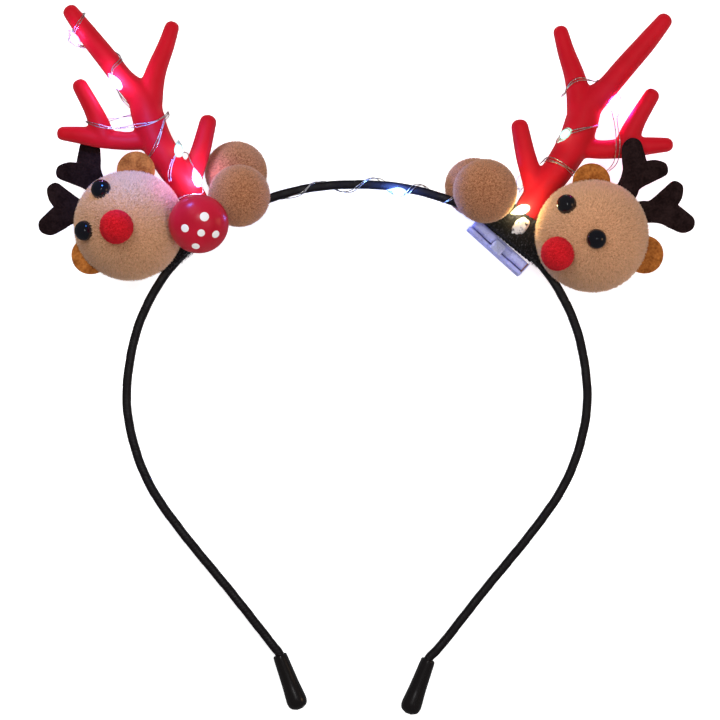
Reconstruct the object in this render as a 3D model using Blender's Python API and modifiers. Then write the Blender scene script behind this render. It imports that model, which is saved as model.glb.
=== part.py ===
"""A reindeer antler headband with two plush heads and a battery light string.

The hoop frame is the frame in which the pieces are described: X to the wearer's left, as the
viewer's right, Y towards the crown, Z towards the viewer, in millimetres, with its origin at
the middle of the hoop's widest level. The whole headband lies on its back: REST tilts the hoop
frame so that the two rear pompoms and the two end caps stand on z = 0.
"""
import math

import bmesh
import bpy
import numpy as np
from mathutils import Matrix, Vector

for thing in list(bpy.data.objects):
    bpy.data.objects.remove(thing, do_unlink=True)

MM = 0.001
GAP = 0.3
MERGE_DISTANCE = 0.00002

# How the hoop frame lies in the part's own frame
REST_TILT_DEG = 5.26
REST_X, REST_Y, REST_Z = -3.0, -10.0, 12.1

# The hoop: a flat steel strip wound in ribbon
BAND_THICK = 2.5
BAND_DEEP = 5.0
BAND_CORNER = 0.6
BAND_STEPS = 2
# The stretch of band that the pads wrap lies above this height
PADDED_ABOVE_Y = 25.0
HOOP_MIDDLE_X = 0.3
# Half width and height of the hoop's centreline, from the crown down
HOOP_KNOTS = [
    # half_width, height
    (0.0, 62.85),
    (13.5, 61.9),
    (26.4, 58.6),
    (41.0, 52.2),
    (53.1, 41.1),
    (60.9, 30.6),
    (66.6, 17.1),
    (69.1, 0.0),
    (67.1, -14.4),
    (61.8, -27.9),
    (52.5, -41.4),
    (37.8, -59.4),
    (25.6, -74.9),
]

# Rubber caps: mouth centre, and the angle of the axis below the horizontal
CAP_MOUTH = {"left": (-22.9, -78.3), "right": (21.7, -79.7)}
CAP_ANGLE_DEG = 69.5
CAP_LONG = 17.2
CAP_SOCKET = 7.0
SOCKET_OPEN = 2.0
# Where the strip runs straight, before the mouth and inside the socket
STRIP_LEAD = 0.6
STRIP_INSIDE = 3.0
# Sections along the cap, as shares of its length
CAP_SECTIONS = [
    # share, half_width, half_depth
    (0.00, 1.95, 3.15),
    (0.04, 2.10, 3.35),
    (0.30, 2.05, 3.30),
    (0.55, 2.10, 3.30),
    (0.78, 2.60, 3.50),
    (0.90, 2.75, 3.50),
    (0.97, 2.05, 2.70),
    (1.00, 0.80, 1.20),
]
CAP_SIDES = 16

# Plush heads
HEAD = {
    # centre x, y, z and radius
    "left": ((-67.6, 50.3, 7.4), 16.5),
    "right": ((70.2, 47.2, 8.3), 16.9),
}
EYE_R = 3.0
NOSE_R = 5.0
NOSE_PROUD = 1.2
EAR_R = 5.7
EAR_THICK = 1.5
FELT_THICK = 1.8
# Where the eyes and the nose sit, seen from the front, from the head's centre
FACE = [
    # side, piece, x, y
    ("left", "eye_left_top", -7.7, 10.3),
    ("left", "eye_left_low", -12.6, -1.9),
    ("left", "nose_left", -2.7, -1.0),
    ("right", "eye_right_top", -8.1, 8.9),
    ("right", "eye_right_low", 0.4, -1.5),
    ("right", "nose_right", -10.8, -5.7),
]
EARS = [
    # side, end, x, y, z from the head's centre
    ("left", "top", 1.6, 16.4, 0.0),
    ("left", "low", -11.8, -9.2, 0.0),
    ("right", "top", -0.1, 15.9, 0.5),
    ("right", "low", 15.7, -5.6, 0.0),
]
# Die-cut felt antler: a stem and two round lobes, along its own axis and across it
FELT_OUTLINE = [
    # along, across, corner
    (-12.0, 3.1, True),
    (0.0, 3.3, False),
    (3.2, 3.0, False),
    (7.6, 5.4, False),
    (11.3, 7.3, False),
    (13.7, 5.4, False),
    (13.0, 2.2, False),
    (11.3, 0.0, True),
    (13.2, -2.2, False),
    (15.2, -5.0, False),
    (14.3, -7.8, False),
    (11.1, -8.5, False),
    (7.6, -6.4, False),
    (4.8, -4.4, False),
    (0.0, -3.4, False),
    (-12.0, -3.1, True),
]
FELT_NOTCH = 11.3
FELT_ANTLERS = [
    # side, end, notch x, y, z, axis_deg, flip
    ("left", "top", -83.8, 69.4, -4.6, 128.0, -1),
    ("left", "low", -90.8, 56.2, 3.0, 174.0, 1),
    ("right", "top", 86.8, 69.7, 5.2, 57.0, 1),
    ("right", "low", 96.2, 56.5, 5.2, 11.0, -1),
]

# Pompoms: centre x, y, z and radius
POMPOMS = {
    "pompom_left_front": ((-34.7, 58.9, 11.6), 9.2),
    "pompom_left_back": ((-36.6, 67.0, -8.9), 9.4),
    "pompom_right_front": ((38.4, 60.4, 11.0), 9.5),
    "pompom_right_back": ((35.7, 62.5, -9.1), 8.8),
}

# Knit pads over the band: an ellipsoid, open towards the hoop's inside
PAD_MIDDLE = (45.9, 46.8)
PAD_ANGLE_DEG = 39.5
PAD_OUT = 1.5
PAD_HALF = (17.0, 8.0, 9.0)
PAD_CUT_DEEP = 20.0

# Red moulded antler, from its foot: every limb is a row of stations
ANTLER_LIMBS = {
    # x, y, z, half_width
    "beam": [
        (2.1, -4.6, 0.0, 3.7),
        (0.0, 0.0, 0.0, 3.9),
        (-6.6, 9.3, 0.0, 4.4),
        (-12.0, 18.3, 0.0, 4.8),
        (-13.9, 24.9, 0.0, 4.8),
        (-15.2, 30.0, 0.0, 4.6),
        (-20.4, 35.2, 0.3, 3.4),
        (-25.5, 41.2, 0.8, 3.15),
        (-31.6, 48.8, 1.2, 2.85),
        (-36.5, 55.3, 1.5, 2.2),
    ],
    "inner_tine": [
        (-13.0, 26.0, 0.0, 4.0),
        (-12.2, 33.0, 0.0, 3.8),
        (-10.7, 38.6, -0.3, 3.05),
        (-8.2, 45.3, -0.8, 2.4),
        (-6.4, 50.9, -1.0, 2.0),
    ],
    "side_branch": [
        (-11.5, 17.2, 0.0, 3.0),
        (-16.2, 17.0, 0.0, 2.8),
        (-20.4, 16.8, 0.2, 2.65),
        (-27.9, 17.6, 0.6, 2.8),
        (-33.0, 18.4, 0.8, 2.5),
        (-39.0, 19.0, 1.0, 1.85),
    ],
    "side_tine": [
        (-27.8, 18.3, 0.6, 2.6),
        (-28.9, 22.0, 0.7, 2.55),
        (-30.2, 26.2, 0.9, 2.35),
        (-33.8, 33.4, 1.3, 2.0),
    ],
    "spur": [
        (-1.4, 1.6, 0.0, 3.2),
        (-0.2, 6.5, 0.0, 3.0),
        (2.5, 14.1, 0.3, 2.55),
        (4.5, 22.3, 0.6, 2.1),
    ],
}
ANTLER_FLAT = 0.86
ANTLER_STEPS = 2
ANTLER_SIDES = 8
# Sections of the round end past a limb's last station, as angles
TIP_ANGLES_DEG = (30.0, 58.0, 82.0)
ANTLER_FOOT = {"left": (-48.9, 59.1, 0.0), "right": (52.7, 57.1, 0.0)}
ANTLER_TURN_DEG = {"left": 0.0, "right": -2.5}
ANTLER_SIZE = {"left": 1.0, "right": 1.019}

# Toadstool: the middle of the cap's rim, the tilt of its axis, its cap and stem
TOADSTOOL_RIM = (-46.4, 50.4, 19.5)
TOADSTOOL_TILT_DEG = 16.0
TOADSTOOL_R = 8.9
TOADSTOOL_HIGH = 6.4
TOADSTOOL_RIM_THICK = 1.3
# Under the rim: how far in the cap's edge turns, half way down and at the bottom
RIM_INSET = (0.5, 2.0)
TOADSTOOL_ANGLES_DEG = range(0, 91, 15)
TOADSTOOL_SIDES = 22
STEM_R = 2.6
STEM_LONG = 12.4

GLUE_MIDDLE = (48.9, 49.9, 8.0)
GLUE_HALF = (2.7, 2.6, 2.0)

# Battery case on the band's inner side, and the axis along it, below the horizontal
BOX_MIDDLE = (43.1, 44.6, -4.3)
BOX_ANGLE_DEG = 42.0
BOX_LONG = 20.4
BOX_THICK = 3.0
BOX_DEEP = 17.8
BOX_CORNER = 0.8
LID_CORNER = 0.48
LID_THICK = 1.1
LID_LIP = 0.3
SLOT_LONG = 6.6
SLOT_WIDE = 1.8
SLOT_DEEP = 1.6
SLOT_SHIFT = 1.0
SLIDER_LONG = 4.0
SLIDER_PROUD = 1.0
SLIDER_CORNER = 0.25

# Drop-shaped lights: a point near each one, what it lies on, and the angle of its long axis.
# On the band and the pad a light lies in front, this far from the hoop's middle plane.
FRONT_SEATS = {"band": BAND_DEEP / 2, "pad": 6.6}
LIGHT_HALF_LONG = 3.0
LIGHT_R = 1.45
LIGHT_GAP = 0.4
LIGHTS = [
    # name, carrier, x, y, z, angle_deg
    ("light_left_outer_tine", "left beam", -84.2, 106.7, 3.2, 98.0),
    ("light_left_fork", "left beam", -72.3, 93.2, 5.0, 126.0),
    ("light_left_beam", "left beam", -52.8, 73.6, 4.0, 68.0),
    ("light_left_spur", "left spur", -47.5, 64.7, 4.5, 110.0),
    ("light_crown", "band", 12.2, 60.5, 5.0, -8.0),
    ("light_right_beam", "right beam", 62.0, 77.3, 4.9, 33.0),
    ("light_right_fork", "right beam", 77.5, 87.8, -2.6, 55.0),
    ("light_right_foot", "pad", 48.9, 54.8, 8.5, 19.0),
    ("light_right_spur", "right spur", 49.2, 63.1, -3.0, 57.0),
]

PARTS = bpy.data.collections.new("reindeer_antler_headband")
GUIDES = bpy.data.collections.new("cutters")
for group in (PARTS, GUIDES):
    bpy.context.scene.collection.children.link(group)

REST = bpy.data.objects.new("rest_pose", None)
REST.location = Vector((REST_X, REST_Y, REST_Z)) * MM
REST.rotation_euler = (math.radians(REST_TILT_DEG), 0.0, 0.0)
PARTS.objects.link(REST)


def finish(name, colour, roughness, metallic=0.0, alpha=1.0):
    """A Principled material of one colour."""
    made = bpy.data.materials.new(name)
    made.use_nodes = True
    shader = made.node_tree.nodes["Principled BSDF"]
    shader.inputs["Base Color"].default_value = (*colour, 1.0)
    shader.inputs["Roughness"].default_value = roughness
    shader.inputs["Metallic"].default_value = metallic
    shader.inputs["Alpha"].default_value = alpha
    made.diffuse_color = (*colour, alpha)
    return made


RIBBON = finish("black_ribbon", (0.02, 0.018, 0.018), 0.55)
RUBBER = finish("black_rubber", (0.015, 0.013, 0.013), 0.18)
KNIT = finish("black_knit", (0.012, 0.012, 0.012), 0.95)
RED = finish("red_plastic", (0.66, 0.012, 0.02), 0.42)
PLUSH = finish("tan_plush", (0.55, 0.31, 0.16), 0.95)
POMPOM = finish("tan_pompom", (0.42, 0.22, 0.10), 0.95)
EAR_FELT = finish("mustard_felt", (0.46, 0.22, 0.04), 0.95)
DARK_FELT = finish("dark_brown_felt", (0.045, 0.028, 0.024), 0.95)
BEAD = finish("black_bead", (0.006, 0.006, 0.008), 0.08)
NOSE_PLUSH = finish("red_plush", (0.74, 0.06, 0.05), 0.95)
TOADSTOOL_RED = finish("toadstool_red", (0.62, 0.01, 0.02), 0.25)
STEM_WHITE = finish("toadstool_stem", (0.85, 0.83, 0.76), 0.6)
GLUE = finish("hot_glue", (0.9, 0.86, 0.78), 0.35)
MILKY = finish("milky_plastic", (0.78, 0.8, 0.88), 0.3, alpha=0.8)
SWITCH = finish("switch_plastic", (0.86, 0.88, 0.92), 0.35)
CLEAR = finish("clear_light", (0.9, 0.9, 0.95), 0.1, alpha=0.6)


def add_piece(name, data, surface=None):
    """A piece of the headband, or a cutter where it has no surface."""
    piece = bpy.data.objects.new(name, data)
    group = PARTS if surface else GUIDES
    group.objects.link(piece)
    piece.parent = REST
    if surface:
        data.materials.clear()
        data.materials.append(surface)
    else:
        piece.hide_render = True
        piece.display_type = "WIRE"
    return piece


def smooth(piece, edge_deg=40.0):
    """Round shading, with edges sharper than edge_deg kept."""
    piece.data.shade_smooth()
    piece.data.set_sharp_from_angle(angle=math.radians(edge_deg))
    return piece


def mesh_of(fill):
    """A mesh that fill builds in a bmesh, with its faces turned out."""
    build = bmesh.new()
    fill(build)
    bmesh.ops.recalc_face_normals(build, faces=build.faces)
    mesh = bpy.data.meshes.new("shape")
    build.to_mesh(mesh)
    build.free()
    return mesh


def ball(name, centre, half, surface=None, around=24, rows=14):
    """A sphere, or an ellipsoid where half has three sizes."""
    size = half if isinstance(half, tuple) else (half, half, half)
    place = Matrix.Translation(Vector(centre) * MM) @ Matrix.Diagonal((*(s * MM for s in size), 1.0))
    mesh = mesh_of(lambda build: bmesh.ops.create_uvsphere(
        build, u_segments=around, v_segments=rows, radius=1.0, matrix=place))
    return smooth(add_piece(name, mesh, surface))


def round_ball(name, centre, radius, surface=None, detail=3):
    """A sphere of even triangles."""
    mesh = mesh_of(lambda build: bmesh.ops.create_icosphere(
        build, subdivisions=detail, radius=radius * MM, matrix=Matrix.Translation(Vector(centre) * MM)))
    return smooth(add_piece(name, mesh, surface))


def block(name, size, place, surface=None, corner=0.0):
    """A box with its edges rounded by a Bevel modifier where corner is given."""
    stretch = Matrix.Diagonal((*(s * MM for s in size), 1.0))
    mesh = mesh_of(lambda build: bmesh.ops.create_cube(build, size=1.0, matrix=place @ stretch))
    piece = add_piece(name, mesh, surface)
    if corner:
        edge = piece.modifiers.new("rounded edges", "BEVEL")
        edge.width = corner * MM
        edge.segments = 2
    return piece


def weld(curve_piece, surface=None, squash=None):
    """The curve as a mesh with its caps welded on, in the curve's place."""
    view = bpy.context.evaluated_depsgraph_get()
    mesh = bpy.data.meshes.new_from_object(curve_piece.evaluated_get(view))
    name = curve_piece.name
    bpy.data.objects.remove(curve_piece, do_unlink=True)
    build = bmesh.new()
    build.from_mesh(mesh)
    if squash:
        bmesh.ops.transform(build, matrix=squash, verts=build.verts)
    bmesh.ops.remove_doubles(build, verts=build.verts, dist=MERGE_DISTANCE)
    bmesh.ops.recalc_face_normals(build, faces=build.faces)
    build.to_mesh(mesh)
    build.free()
    return smooth(add_piece(name, mesh, surface))


def through(rows, steps):
    """Points on a smooth curve through the rows: a Catmull-Rom spline, with steps to a stretch."""
    knots = np.array(rows, float)
    padded = np.vstack([2 * knots[0] - knots[1], knots, 2 * knots[-1] - knots[-2]])
    share = np.linspace(0.0, 1.0, steps, endpoint=False)[:, None]
    found = []
    for before, here, after, beyond in zip(padded, padded[1:], padded[2:], padded[3:]):
        slope_here = (after - before) / 2
        slope_after = (beyond - here) / 2
        step = 3 * share**2 - 2 * share**3
        leave = share**3 - 2 * share**2 + share
        arrive = share**3 - share**2
        found.append(here * (1 - step) + after * step + slope_here * leave + slope_after * arrive)
    return np.vstack([*found, knots[-1:]])


def curve_along(name, points, radii=None, section=None, sides=8):
    """A curve object through the points, round with the given radii or swept with a section."""
    curve = bpy.data.curves.new(name, "CURVE")
    curve.dimensions = "3D"
    curve.twist_mode = "Z_UP"
    curve.use_fill_caps = True
    spline = curve.splines.new("POLY")
    spline.points.add(len(points) - 1)
    for index, (point, place) in enumerate(zip(spline.points, points)):
        point.co = (*(Vector(place) * MM), 1.0)
        point.radius = radii[index] if radii is not None else 1.0
    if section:
        curve.bevel_mode = "OBJECT"
        curve.bevel_object = section
    else:
        curve.bevel_depth = MM
        curve.bevel_resolution = (sides - 4) // 2
    return add_piece(name, curve)


def rounded_tip(stations):
    """The stations with a half-round end past the last one."""
    last, before = np.array(stations[-1]), np.array(stations[-2])
    forward = (last - before)[:3]
    forward = forward / np.linalg.norm(forward)
    end = [(*(last[:3] + forward * last[3] * math.sin(turn)), last[3] * math.cos(turn))
           for turn in np.radians(TIP_ANGLES_DEG)]
    return np.vstack([stations, end])


def cut(piece, cutter, how="DIFFERENCE"):
    """Cuts the piece by the cutter, or joins the two."""
    step = piece.modifiers.new(how.lower() + " " + cutter.name, "BOOLEAN")
    step.operation = how
    step.solver = "EXACT"
    step.object = cutter
    return piece


def frame_at(middle, angle_deg):
    """A place in the hoop plane whose X axis is turned by the angle."""
    return Matrix.Translation(Vector(middle) * MM) @ Matrix.Rotation(math.radians(angle_deg), 4, "Z")


# Band and end caps
def hoop_side(side):
    """The hoop's centreline from below the crown to the strip's end inside the cap."""
    sign = -1.0 if side == "left" else 1.0
    mouth = np.array(CAP_MOUTH[side])
    inward = cap_axis(side)
    down = [(HOOP_MIDDLE_X + sign * wide, high) for wide, high in HOOP_KNOTS[1:]]
    end = [tuple(mouth + along * inward) for along in (-STRIP_LEAD, STRIP_INSIDE, CAP_SOCKET - GAP)]
    return down + end


def cap_axis(side):
    """The direction in the hoop plane from a cap's mouth to its tip."""
    sign = -1.0 if side == "left" else 1.0
    angle = math.radians(CAP_ANGLE_DEG)
    return np.array((-sign * math.cos(angle), -math.sin(angle)))


def hoop_points():
    """The whole centreline, from the left end over the crown to the right end."""
    crown = (HOOP_MIDDLE_X, HOOP_KNOTS[0][1])
    knots = hoop_side("left")[::-1] + [crown] + hoop_side("right")
    return [(x, y, 0.0) for x, y in through(knots, BAND_STEPS)]


def strip_section(name, grown):
    """The strip's cross-section: a rectangle with its corners cut."""
    wide, deep = BAND_THICK / 2 + grown, BAND_DEEP / 2 + grown
    corners = [(wide - BAND_CORNER, deep), (wide, deep - BAND_CORNER)]
    corners += [(x, -y) for x, y in corners[::-1]]
    corners += [(-x, y) for x, y in corners[::-1]]
    curve = bpy.data.curves.new(name, "CURVE")
    curve.dimensions = "2D"
    spline = curve.splines.new("POLY")
    spline.points.add(len(corners) - 1)
    spline.use_cyclic_u = True
    for point, (x, y) in zip(spline.points, corners):
        point.co = (x * MM, y * MM, 0.0, 1.0)
    return add_piece(name, curve)


def build_band():
    """The strip swept along the hoop, and a slightly larger one that clears the pads."""
    points = hoop_points()
    band = weld(curve_along("band", points, section=strip_section("strip", 0.0)), RIBBON)
    near = [p for p in points if p[1] > PADDED_ABOVE_Y]
    clearance = weld(curve_along("band_clearance", near, section=strip_section("strip_grown", GAP)))
    return band, clearance


def build_cap(side):
    """A rubber cap lofted through oval sections, with a socket for the strip's end."""
    mouth, axis = np.array(CAP_MOUTH[side]), cap_axis(side)
    across = np.array((-axis[1], axis[0]))
    turns = np.linspace(0.0, 2 * math.pi, CAP_SIDES, endpoint=False)

    def loft(build):
        rings = []
        for share, wide, deep in CAP_SECTIONS:
            middle = mouth + axis * share * CAP_LONG
            ring = [(*(middle + across * wide * math.cos(t)), deep * math.sin(t)) for t in turns]
            rings.append([build.verts.new(Vector(point) * MM) for point in ring])
        for ring, beyond in zip(rings, rings[1:]):
            for k in range(CAP_SIDES):
                build.faces.new((ring[k], ring[k - 1], beyond[k - 1], beyond[k]))
        build.faces.new(rings[0])
        build.faces.new(rings[-1][::-1])

    cap = smooth(add_piece("end_cap_" + side, mesh_of(loft), RUBBER))
    reach = CAP_SOCKET + SOCKET_OPEN
    middle = mouth + axis * (CAP_SOCKET - reach / 2)
    place = frame_at((*middle, 0.0), math.degrees(math.atan2(axis[1], axis[0])))
    socket = block("socket_" + side, (reach, BAND_THICK + 2 * GAP, BAND_DEEP + 2 * GAP), place)
    return cut(cap, socket)


# Red antlers
def antler_frame(side):
    """From the moulded antler's own millimetres to the hoop frame."""
    mirror = 1.0 if side == "left" else -1.0
    size = ANTLER_SIZE[side]
    turn = Matrix.Rotation(math.radians(ANTLER_TURN_DEG[side]), 4, "Z")
    flat = Matrix.Diagonal((mirror * size, size, size, 1.0))
    return Matrix.Translation(Vector(ANTLER_FOOT[side])) @ turn @ flat


def limb_stations(side, limb):
    """A limb's stations on a smooth curve, in the hoop frame: x, y, z, half width."""
    rows = through(ANTLER_LIMBS[limb], ANTLER_STEPS)
    place = antler_frame(side)
    return np.array([(*(place @ Vector(row[:3])), row[3] * ANTLER_SIZE[side]) for row in rows])


def flattened():
    """The moulded antler is shallower than it is wide."""
    return Matrix.Diagonal((1.0, 1.0, ANTLER_FLAT, 1.0))


def build_antler(side):
    """The beam with its tines, joined into one moulding."""
    antler = None
    for limb in ANTLER_LIMBS:
        stations = rounded_tip(limb_stations(side, limb))
        name = "antler_" + side if limb == "beam" else side + "_" + limb
        tube = curve_along(name, stations[:, :3], stations[:, 3], sides=ANTLER_SIDES)
        tube = weld(tube, RED if limb == "beam" else None, flattened())
        if limb == "beam":
            antler = tube
        else:
            cut(antler, tube, "UNION")
    foot = limb_stations(side, "beam")[:2 * ANTLER_STEPS + 1]
    foot[0, :2] -= GAP * (foot[1, :2] - foot[0, :2]) / np.linalg.norm(foot[1, :2] - foot[0, :2])
    widths = foot[:, 3] + GAP / ANTLER_FLAT
    clearance = curve_along("antler_foot_" + side, foot[:, :3], widths, sides=ANTLER_SIDES)
    return antler, weld(clearance, None, flattened())


# Plush heads with their faces
def build_face_piece(side, name, x, y, clearance):
    """An eye or a nose, half sunk in the head's surface at a place seen from the front."""
    (cx, cy, cz), head_r = HEAD[side]
    is_nose = name.startswith("nose")
    reach = head_r + (NOSE_PROUD if is_nose else 0.0)
    z = math.sqrt(reach**2 - x**2 - y**2)
    centre = (cx + x, cy + y, cz + z)
    if is_nose:
        piece = round_ball(name, centre, NOSE_R, NOSE_PLUSH)
    else:
        piece = ball(name, centre, EYE_R, BEAD, 14, 8)
    return cut(piece, clearance)


def build_ear(side, end, x, y, z, clearance):
    """A felt disc that stands out behind the head's edge."""
    (cx, cy, cz), _ = HEAD[side]
    place = Matrix.Translation(Vector((cx + x, cy + y, cz + z)) * MM)
    mesh = mesh_of(lambda build: bmesh.ops.create_cone(
        build, cap_ends=True, segments=24, radius1=EAR_R * MM, radius2=EAR_R * MM,
        depth=EAR_THICK * MM, matrix=place))
    return cut(smooth(add_piece("ear_{}_{}".format(side, end), mesh, EAR_FELT)), clearance)


def build_felt_antler(side, end, x, y, z, axis_deg, flip, clearance):
    """A die-cut felt antler, its stem running in to the head's surface."""
    name = "felt_antler_{}_{}".format(side, end)
    curve = bpy.data.curves.new(name, "CURVE")
    curve.dimensions = "2D"
    curve.fill_mode = "BOTH"
    curve.extrude = FELT_THICK / 2 * MM
    curve.resolution_u = 2
    spline = curve.splines.new("BEZIER")
    spline.use_cyclic_u = True
    spline.bezier_points.add(len(FELT_OUTLINE) - 1)
    for point, (along, across, corner) in zip(spline.bezier_points, FELT_OUTLINE):
        point.co = ((along - FELT_NOTCH) * MM, -flip * across * MM, 0.0)
        point.handle_left_type = point.handle_right_type = "VECTOR" if corner else "AUTO"
    piece = add_piece(name, curve)
    piece.matrix_local = frame_at((x, y, z), axis_deg)
    felt = weld(piece, DARK_FELT, frame_at((x, y, z), axis_deg))
    return cut(felt, clearance)


def build_head(side):
    """The plush ball with its eyes, nose, ears and felt antlers."""
    centre, radius = HEAD[side]
    head = ball("head_" + side, centre, radius, PLUSH)
    clearance = ball("head_clearance_" + side, centre, radius + GAP)
    for row in FACE:
        if row[0] == side:
            build_face_piece(*row, clearance)
    for row in EARS:
        if row[0] == side:
            build_ear(*row, clearance)
    for row in FELT_ANTLERS:
        if row[0] == side:
            build_felt_antler(*row, clearance)
    return head, clearance


# Toadstool
def toadstool_frame():
    """Z runs from the stem to the top of the cap, with its origin at the middle of the rim."""
    tilt = Matrix.Rotation(math.radians(TOADSTOOL_TILT_DEG), 4, "X")
    return Matrix.Translation(Vector(TOADSTOOL_RIM) * MM) @ tilt


def build_toadstool():
    """A turned cap on a round stem, the stem sunk a little in the pad."""
    turns = np.radians(TOADSTOOL_ANGLES_DEG)
    outline = [(TOADSTOOL_R * math.sin(t), TOADSTOOL_HIGH * math.cos(t)) for t in turns]
    outline.append((TOADSTOOL_R - RIM_INSET[0], -0.75 * TOADSTOOL_RIM_THICK))
    outline.append((TOADSTOOL_R - RIM_INSET[1], -TOADSTOOL_RIM_THICK))
    outline.append((0.0, -TOADSTOOL_RIM_THICK))
    mesh = bpy.data.meshes.new("toadstool_profile")
    edges = [(k, k + 1) for k in range(len(outline) - 1)]
    mesh.from_pydata([(r * MM, 0.0, z * MM) for r, z in outline], edges, [])
    cap = add_piece("mushroom_cap", mesh, TOADSTOOL_RED)
    cap.matrix_local = toadstool_frame()
    turn = cap.modifiers.new("turned", "SCREW")
    turn.steps = turn.render_steps = TOADSTOOL_SIDES
    turn.use_merge_vertices = True
    turn.merge_threshold = MERGE_DISTANCE
    turn.use_smooth_shade = True

    def stem(name, radius, end, surface=None):
        top = -TOADSTOOL_RIM_THICK - GAP
        place = toadstool_frame() @ Matrix.Translation(Vector((0.0, 0.0, (top + end) / 2)) * MM)
        stem_mesh = mesh_of(lambda build: bmesh.ops.create_cone(
            build, cap_ends=True, segments=16, radius1=radius * MM, radius2=radius * MM,
            depth=(top - end) * MM, matrix=place))
        return smooth(add_piece(name, stem_mesh, surface))

    stem("mushroom_stem", STEM_R, -STEM_LONG, STEM_WHITE)
    return stem("stem_clearance", STEM_R + GAP, -STEM_LONG - GAP)


# Pads
def pad_frame(side):
    """X along the band, Y to the outside, with its origin at the pad's middle."""
    sign = -1.0 if side == "left" else 1.0
    place = frame_at((sign * PAD_MIDDLE[0], PAD_MIDDLE[1], 0.0), -sign * PAD_ANGLE_DEG)
    return place @ Matrix.Translation(Vector((0.0, PAD_OUT, 0.0)) * MM)


def pad_ball(name, side, grown, surface=None, around=22, rows=12):
    """The pad's ellipsoid, grown all round."""
    stretch = Matrix.Diagonal((*((half + grown) * MM for half in PAD_HALF), 1.0))
    mesh = mesh_of(lambda build: bmesh.ops.create_uvsphere(
        build, u_segments=around, v_segments=rows, radius=1.0, matrix=pad_frame(side) @ stretch))
    return smooth(add_piece(name, mesh, surface))


def build_pad(side, clearances):
    """A knit mound, flush with the band's inner face and hollowed where its neighbours sit."""
    pad = pad_ball("pad_" + side, side, 0.0, KNIT)
    middle_y = -PAD_OUT - BAND_THICK / 2 - PAD_CUT_DEEP / 2
    down = Matrix.Translation(Vector((0.0, middle_y, 0.0)) * MM)
    size = (4 * PAD_HALF[0], PAD_CUT_DEEP, 4 * PAD_HALF[2])
    cut(pad, block("inner_side_" + side, size, pad_frame(side) @ down))
    for clearance in clearances:
        cut(pad, clearance)
    return pad


def build_pompom(name):
    """A dense pompom: the ball that its fibre ends make."""
    centre, radius = POMPOMS[name]
    round_ball(name, centre, radius, POMPOM)
    return round_ball(name + "_clearance", centre, radius + GAP)


# Battery case
def box_frame():
    """X along the case to its lower end, Y to the outside of the hoop, Z to the viewer."""
    return frame_at(BOX_MIDDLE, -BOX_ANGLE_DEG)


def in_box(x, y, z):
    """A place in the battery case's frame."""
    return box_frame() @ Matrix.Translation(Vector((x, y, z)) * MM)


def build_battery_box():
    """The case with its snapped-on lid and the power slider in its slot."""
    size = (BOX_LONG, BOX_THICK, BOX_DEEP)
    case = block("battery_box", size, in_box(0.0, 0.0, 0.0), MILKY, BOX_CORNER)
    front = BOX_DEEP / 2
    slot = block("switch_slot", (SLOT_LONG, SLOT_WIDE, 2 * SLOT_DEEP), in_box(SLOT_SHIFT, 0.0, front))
    cut(case, slot)
    lid_y = -BOX_THICK / 2 - GAP - LID_THICK / 2
    block("battery_lid", (BOX_LONG + 2 * LID_LIP, LID_THICK, BOX_DEEP + 2 * LID_LIP),
          in_box(0.0, lid_y, 0.0), MILKY, LID_CORNER)
    start = SLOT_SHIFT - SLOT_LONG / 2 + GAP + SLIDER_LONG / 2
    high = SLOT_DEEP - GAP + SLIDER_PROUD
    block("switch_slider", (SLIDER_LONG, SLOT_WIDE - 2 * GAP, high),
          in_box(start, 0.0, front + SLIDER_PROUD - high / 2), SWITCH, SLIDER_CORNER)


# Lights
def seat_on_limb(carrier, wanted):
    """The nearest point of a limb's axis, the way out from it and how far its surface is that way."""
    side, limb = carrier.split()
    stations = limb_stations(side, limb)
    starts, ends = stations[:-1], stations[1:]
    along = ends[:, :3] - starts[:, :3]
    share = np.clip(((wanted - starts[:, :3]) * along).sum(1) / (along**2).sum(1), 0.0, 1.0)
    nearest = starts + (ends - starts) * share[:, None]
    pick = nearest[np.argmin(np.linalg.norm(nearest[:, :3] - wanted, axis=1))]
    out = (wanted - pick[:3]) / np.linalg.norm(wanted - pick[:3])
    return pick[:3], out, pick[3] / math.hypot(out[0], out[1], out[2] / ANTLER_FLAT)


def build_light(name, carrier, x, y, z, angle_deg):
    """A clear drop that lies on its carrier, on the side where the given point is."""
    if carrier in FRONT_SEATS:
        axis_point, out = np.array((x, y, 0.0)), np.array((0.0, 0.0, 1.0))
        reach = FRONT_SEATS[carrier]
    else:
        axis_point, out, reach = seat_on_limb(carrier, np.array((x, y, z)))
    middle = axis_point + out * (reach + LIGHT_GAP + LIGHT_R)
    angle = math.radians(angle_deg)
    axis = np.array((math.cos(angle), math.sin(angle), 0.0))
    axis = axis - out * (axis @ out)
    axis = axis / np.linalg.norm(axis)
    side_way = np.cross(out, axis)
    turn = Matrix((axis, side_way, out)).transposed().to_4x4()
    stretch = Matrix.Diagonal((LIGHT_HALF_LONG * MM, LIGHT_R * MM, LIGHT_R * MM, 1.0))
    place = Matrix.Translation(Vector(middle) * MM) @ turn @ stretch
    place = place @ Matrix.Rotation(math.pi / 2, 4, "Y")
    mesh = mesh_of(lambda build: bmesh.ops.create_uvsphere(
        build, u_segments=8, v_segments=5, radius=1.0, matrix=place))
    smooth(add_piece(name, mesh, CLEAR))


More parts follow.
